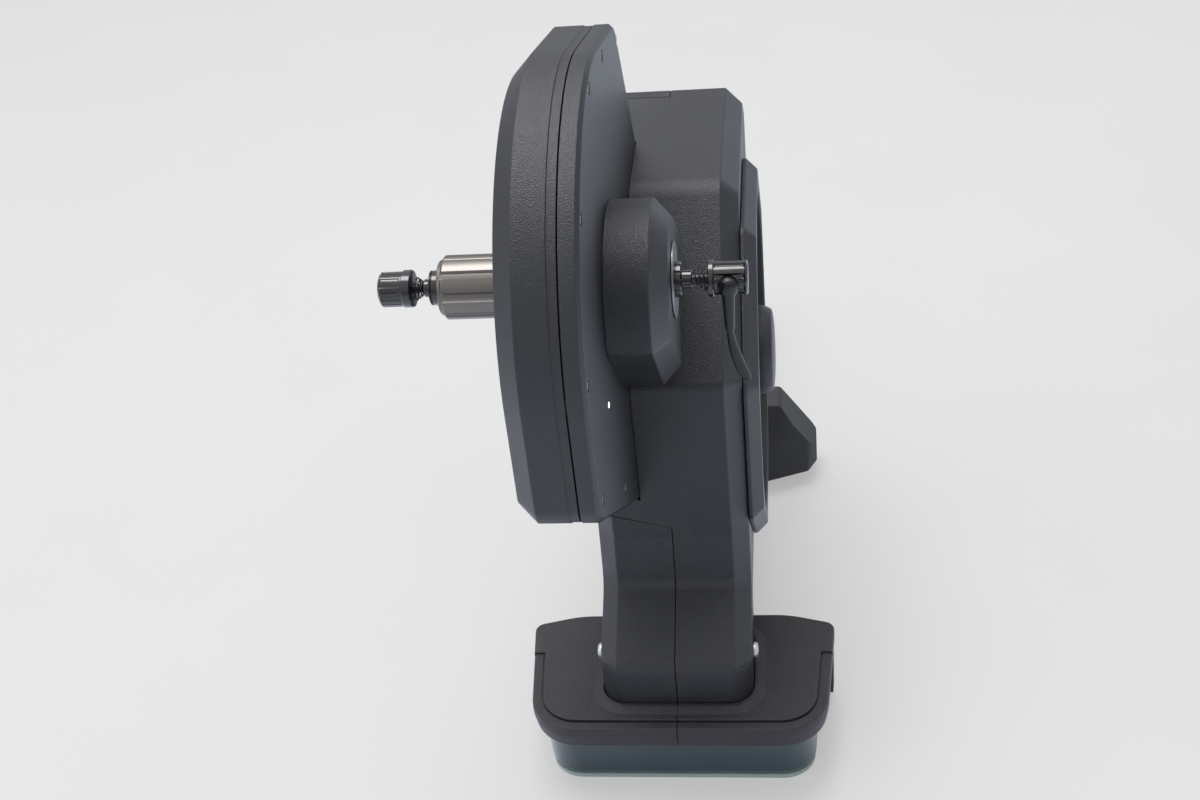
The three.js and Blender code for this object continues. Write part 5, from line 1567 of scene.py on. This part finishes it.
class TRAINER_OT_legs(Operator):
    """Builds the folding legs with their knobs and pads"""

    bl_idname = "trainer.legs"
    bl_label = "Legs"

    def execute(self, context):
        legs = context.scene.trainer_legs
        for side, _ in SIDES:
            fit(leg(legs, side), "leg_black", f"leg_{side}")
            fit(level_knob(legs, side), "leg_black", f"level_knob_{side}")
            fit(level_pad(legs, side), "black_rubber", f"level_pad_{side}")
        return {"FINISHED"}


# Stage

# Where the floor's painted shade behind the part fades in along Y, and its painted reflection on the right
# along X
BEHIND = (0.15, 0.55)
BESIDE = (0.12, 0.7)


class TrainerStage(PropertyGroup):
    """Camera, floor and lamps."""

    lens: number("Lens", "Focal length for a 36 mm sensor, in millimetres", 47.4, min=10)
    camera_place: FloatVectorProperty(
        name="Camera place", description="Where the camera stands",
        subtype="TRANSLATION", unit="LENGTH", size=3, default=(0.0795, -0.72, 0.7631),
    )
    heading: angle("Heading", "Turn of the view to the left of straight on", 8.78)
    pitch: angle("Pitch", "How far the view looks down", 34.42)
    roll: angle("Roll", "Tilt of the camera about its view", -6.42)
    floor_shade: number("Floor shade", "What the camera sees of the floor's shadowed part", 0.25, min=0, max=1)
    floor_glow: number("Floor glow", "What the camera sees of the floor's even part", 0.375, min=0, max=1)
    floor_light: tint("Floor light", "Colour that the floor throws back on the part", 0.68, 0.71, 0.79)
    floor_size: length("Floor size", "Width of the floor", 14000)
    # Floor behind: a painted shade, darker floor that only the part's reflections and bounce light see
    floor_behind_shade: tint("Floor behind", "Floor behind the part, as the part mirrors it", 0.3, 0.31, 0.34)
    # Side glow is a painted reflection: the floor on the right glows in glossy rays only, with no window there
    side_reflection: number("Side glow", "Window light that shiny faces mirror from the right", 0.9, min=0)
    side_reflection_tint: tint("Side tint", "Colour of the window light on the right", 0.72, 0.84, 1)
    sky_strength: number("Room light", "How much brighter the room is overhead", 0.75, min=0)
    wall_strength: number("Wall light", "Strength of the light from the room's walls", 0.28, min=0)
    wall_seen: number("Wall seen", "What the camera sees of the room's walls", 0.78, min=0)
    key_power: number("Key light", "Power of the large overhead light", 42, subtype="POWER", min=0)


def aim_camera(stage):
    """Puts the camera where the photograph was taken from."""
    heading, pitch, roll = stage.heading, stage.pitch, stage.roll
    down = Vector((-sin(heading) * cos(pitch), cos(heading) * cos(pitch), -sin(pitch)))
    level = Vector((cos(heading), sin(heading), 0))
    rise = level.cross(down)
    across = level * cos(roll) + rise * sin(roll)
    up = rise * cos(roll) - level * sin(roll)
    data = bpy.data.cameras.new("camera")
    data.lens = stage.lens
    data.sensor_width = 36
    data.clip_start = 0.01
    camera = bpy.data.objects.new("camera", data)
    turn = Matrix((across, up, -down)).transposed().to_4x4()
    camera.matrix_world = Matrix.Translation(stage.camera_place) @ turn
    bpy.context.scene.collection.objects.link(camera)
    bpy.context.scene.camera = camera


def area_lamp(name, place, size, power, colour=(1, 1, 1)):
    """A lamp that shines on the part."""
    data = bpy.data.lights.new(name, "AREA")
    data.shape = "RECTANGLE"
    data.size, data.size_y = size
    data.energy = power
    data.color = colour
    lamp = bpy.data.objects.new(name, data)
    lamp.location = place
    lamp.rotation_euler = (Vector((0, 0.1, 0.2)) - Vector(place)).to_track_quat("-Z", "Y").to_euler()
    bpy.context.scene.collection.objects.link(lamp)


def pale_floor(stage):
    """A pale floor that the camera sees with a thin shadow, and whose light on the part stays full, though
    darker behind it as painted shade; on the right it glows in glossy rays only, a painted reflection.
    """
    material, tree, shader = bare_material("pale_floor")
    place = object_place(tree)
    split = split_axes(tree, place)
    paths = tree.nodes.new("ShaderNodeLightPath").outputs
    seen = paths["Is Camera Ray"]
    shade = stage.floor_shade
    # Painted shade: the floor behind the part is darker in what the part mirrors and takes light from
    far = blend(tree, spread(tree, split["Y"], *BEHIND), (*stage.floor_light, 1), (*stage.floor_behind_shade, 1))
    tone = spread(tree, noise(tree, place, 5.0, 5.0), 0.2, 0.8)
    even = calculate(tree, "MULTIPLY_ADD", tone, 0.02, stage.floor_glow)
    # Painted reflection: the floor on the right glows only in what shiny faces mirror
    reflection_mask = calculate(tree, "MULTIPLY", paths["Is Glossy Ray"], spread(tree, split["X"], *BESIDE))
    painted_reflection = calculate(tree, "MULTIPLY", reflection_mask, stage.side_reflection)
    fill(tree, shader, {
        "Base Color": blend(tree, seen, far, (shade, shade, shade, 1)), "Roughness": 0.6,
        "Emission Strength": calculate(tree, "ADD", calculate(tree, "MULTIPLY", seen, even), painted_reflection),
        "Emission Color": blend(tree, seen, (*stage.side_reflection_tint, 1), (1, 1, 0.995, 1)),
    })
    return material


def soft_room(stage):
    """The light of a room that is brightest overhead; the camera sees an even pale wall."""
    world = bpy.data.worlds.new("room")
    world.use_nodes = True
    tree = world.node_tree
    split = split_axes(tree, add_node(tree, "TexCoord", "Generated"))
    up = spread(tree, split["Z"], 0, 1)
    left = spread(tree, split["X"], 0.5, -1)
    light = calculate(tree, "MULTIPLY_ADD", up, stage.sky_strength, stage.wall_strength)
    light = calculate(tree, "MULTIPLY_ADD", left, stage.wall_strength, light)
    seen = add_node(tree, "LightPath", "Is Camera Ray")
    unseen = calculate(tree, "MULTIPLY", calculate(tree, "SUBTRACT", 1, seen), light)
    fill(tree, tree.nodes["Background"], {
        "Color": (0.97, 0.98, 1, 1),
        "Strength": calculate(tree, "MULTIPLY_ADD", seen, stage.wall_seen, unseen),
    })
    return world


class TRAINER_OT_stage(Operator):
    """Makes the pale floor, the soft light and the camera"""

    bl_idname = "trainer.stage"
    bl_label = "Stage"

    def execute(self, context):
        stage = context.scene.trainer_stage
        aim_camera(stage)
        body = bmesh.new()
        bmesh.ops.create_grid(body, x_segments=1, y_segments=1, size=stage.floor_size / 2)
        floor = mesh_object("floor", body)
        floor.data.materials.append(pale_floor(stage))
        area_lamp("overhead", (-0.28, 0.5, 2.4), (1.5, 1.0), stage.key_power)
        area_lamp("window", (-2.2, -0.9, 1.5), (1.6, 1.4), stage.key_power * 0.2, (0.9, 0.95, 1))
        context.scene.world = soft_room(stage)
        context.scene.view_settings.view_transform = "Standard"
        return {"FINISHED"}


class TRAINER_PT_pieces(Panel):
    """The builder's steps in order"""

    bl_idname = "TRAINER_PT_pieces"
    bl_label = "Bike trainer"
    bl_space_type = "VIEW_3D"
    bl_region_type = "UI"
    bl_category = "Trainer"

    def draw(self, context):
        for step in STEPS:
            self.layout.operator(step.bl_idname)


STEPS = (
    TRAINER_OT_finishes,
    TRAINER_OT_carried_parts,
    TRAINER_OT_belt_cover,
    TRAINER_OT_body,
    TRAINER_OT_flywheel,
    TRAINER_OT_axle,
    TRAINER_OT_front_foot,
    TRAINER_OT_legs,
    TRAINER_OT_stage,
)
SETTINGS = {
    "trainer_finishes": TrainerFinishes,
    "trainer_cover": TrainerCover,
    "trainer_body": TrainerBody,
    "trainer_flywheel": TrainerFlywheel,
    "trainer_axle": TrainerAxle,
    "trainer_foot": TrainerFoot,
    "trainer_legs": TrainerLegs,
    "trainer_stage": TrainerStage,
}


def register():
    for kind in (*SETTINGS.values(), *STEPS, TRAINER_PT_pieces):
        bpy.utils.register_class(kind)
    for name, kind in SETTINGS.items():
        setattr(bpy.types.Scene, name, PointerProperty(type=kind))


def unregister():
    for name in SETTINGS:
        delattr(bpy.types.Scene, name)
    for kind in reversed((*SETTINGS.values(), *STEPS, TRAINER_PT_pieces)):
        bpy.utils.unregister_class(kind)


def main():
    register()
    for step in STEPS:
        area, name = step.bl_idname.split(".")
        getattr(getattr(bpy.ops, area), name)()
    bpy.context.view_layer.update()


if __name__ == "__main__":
    main()
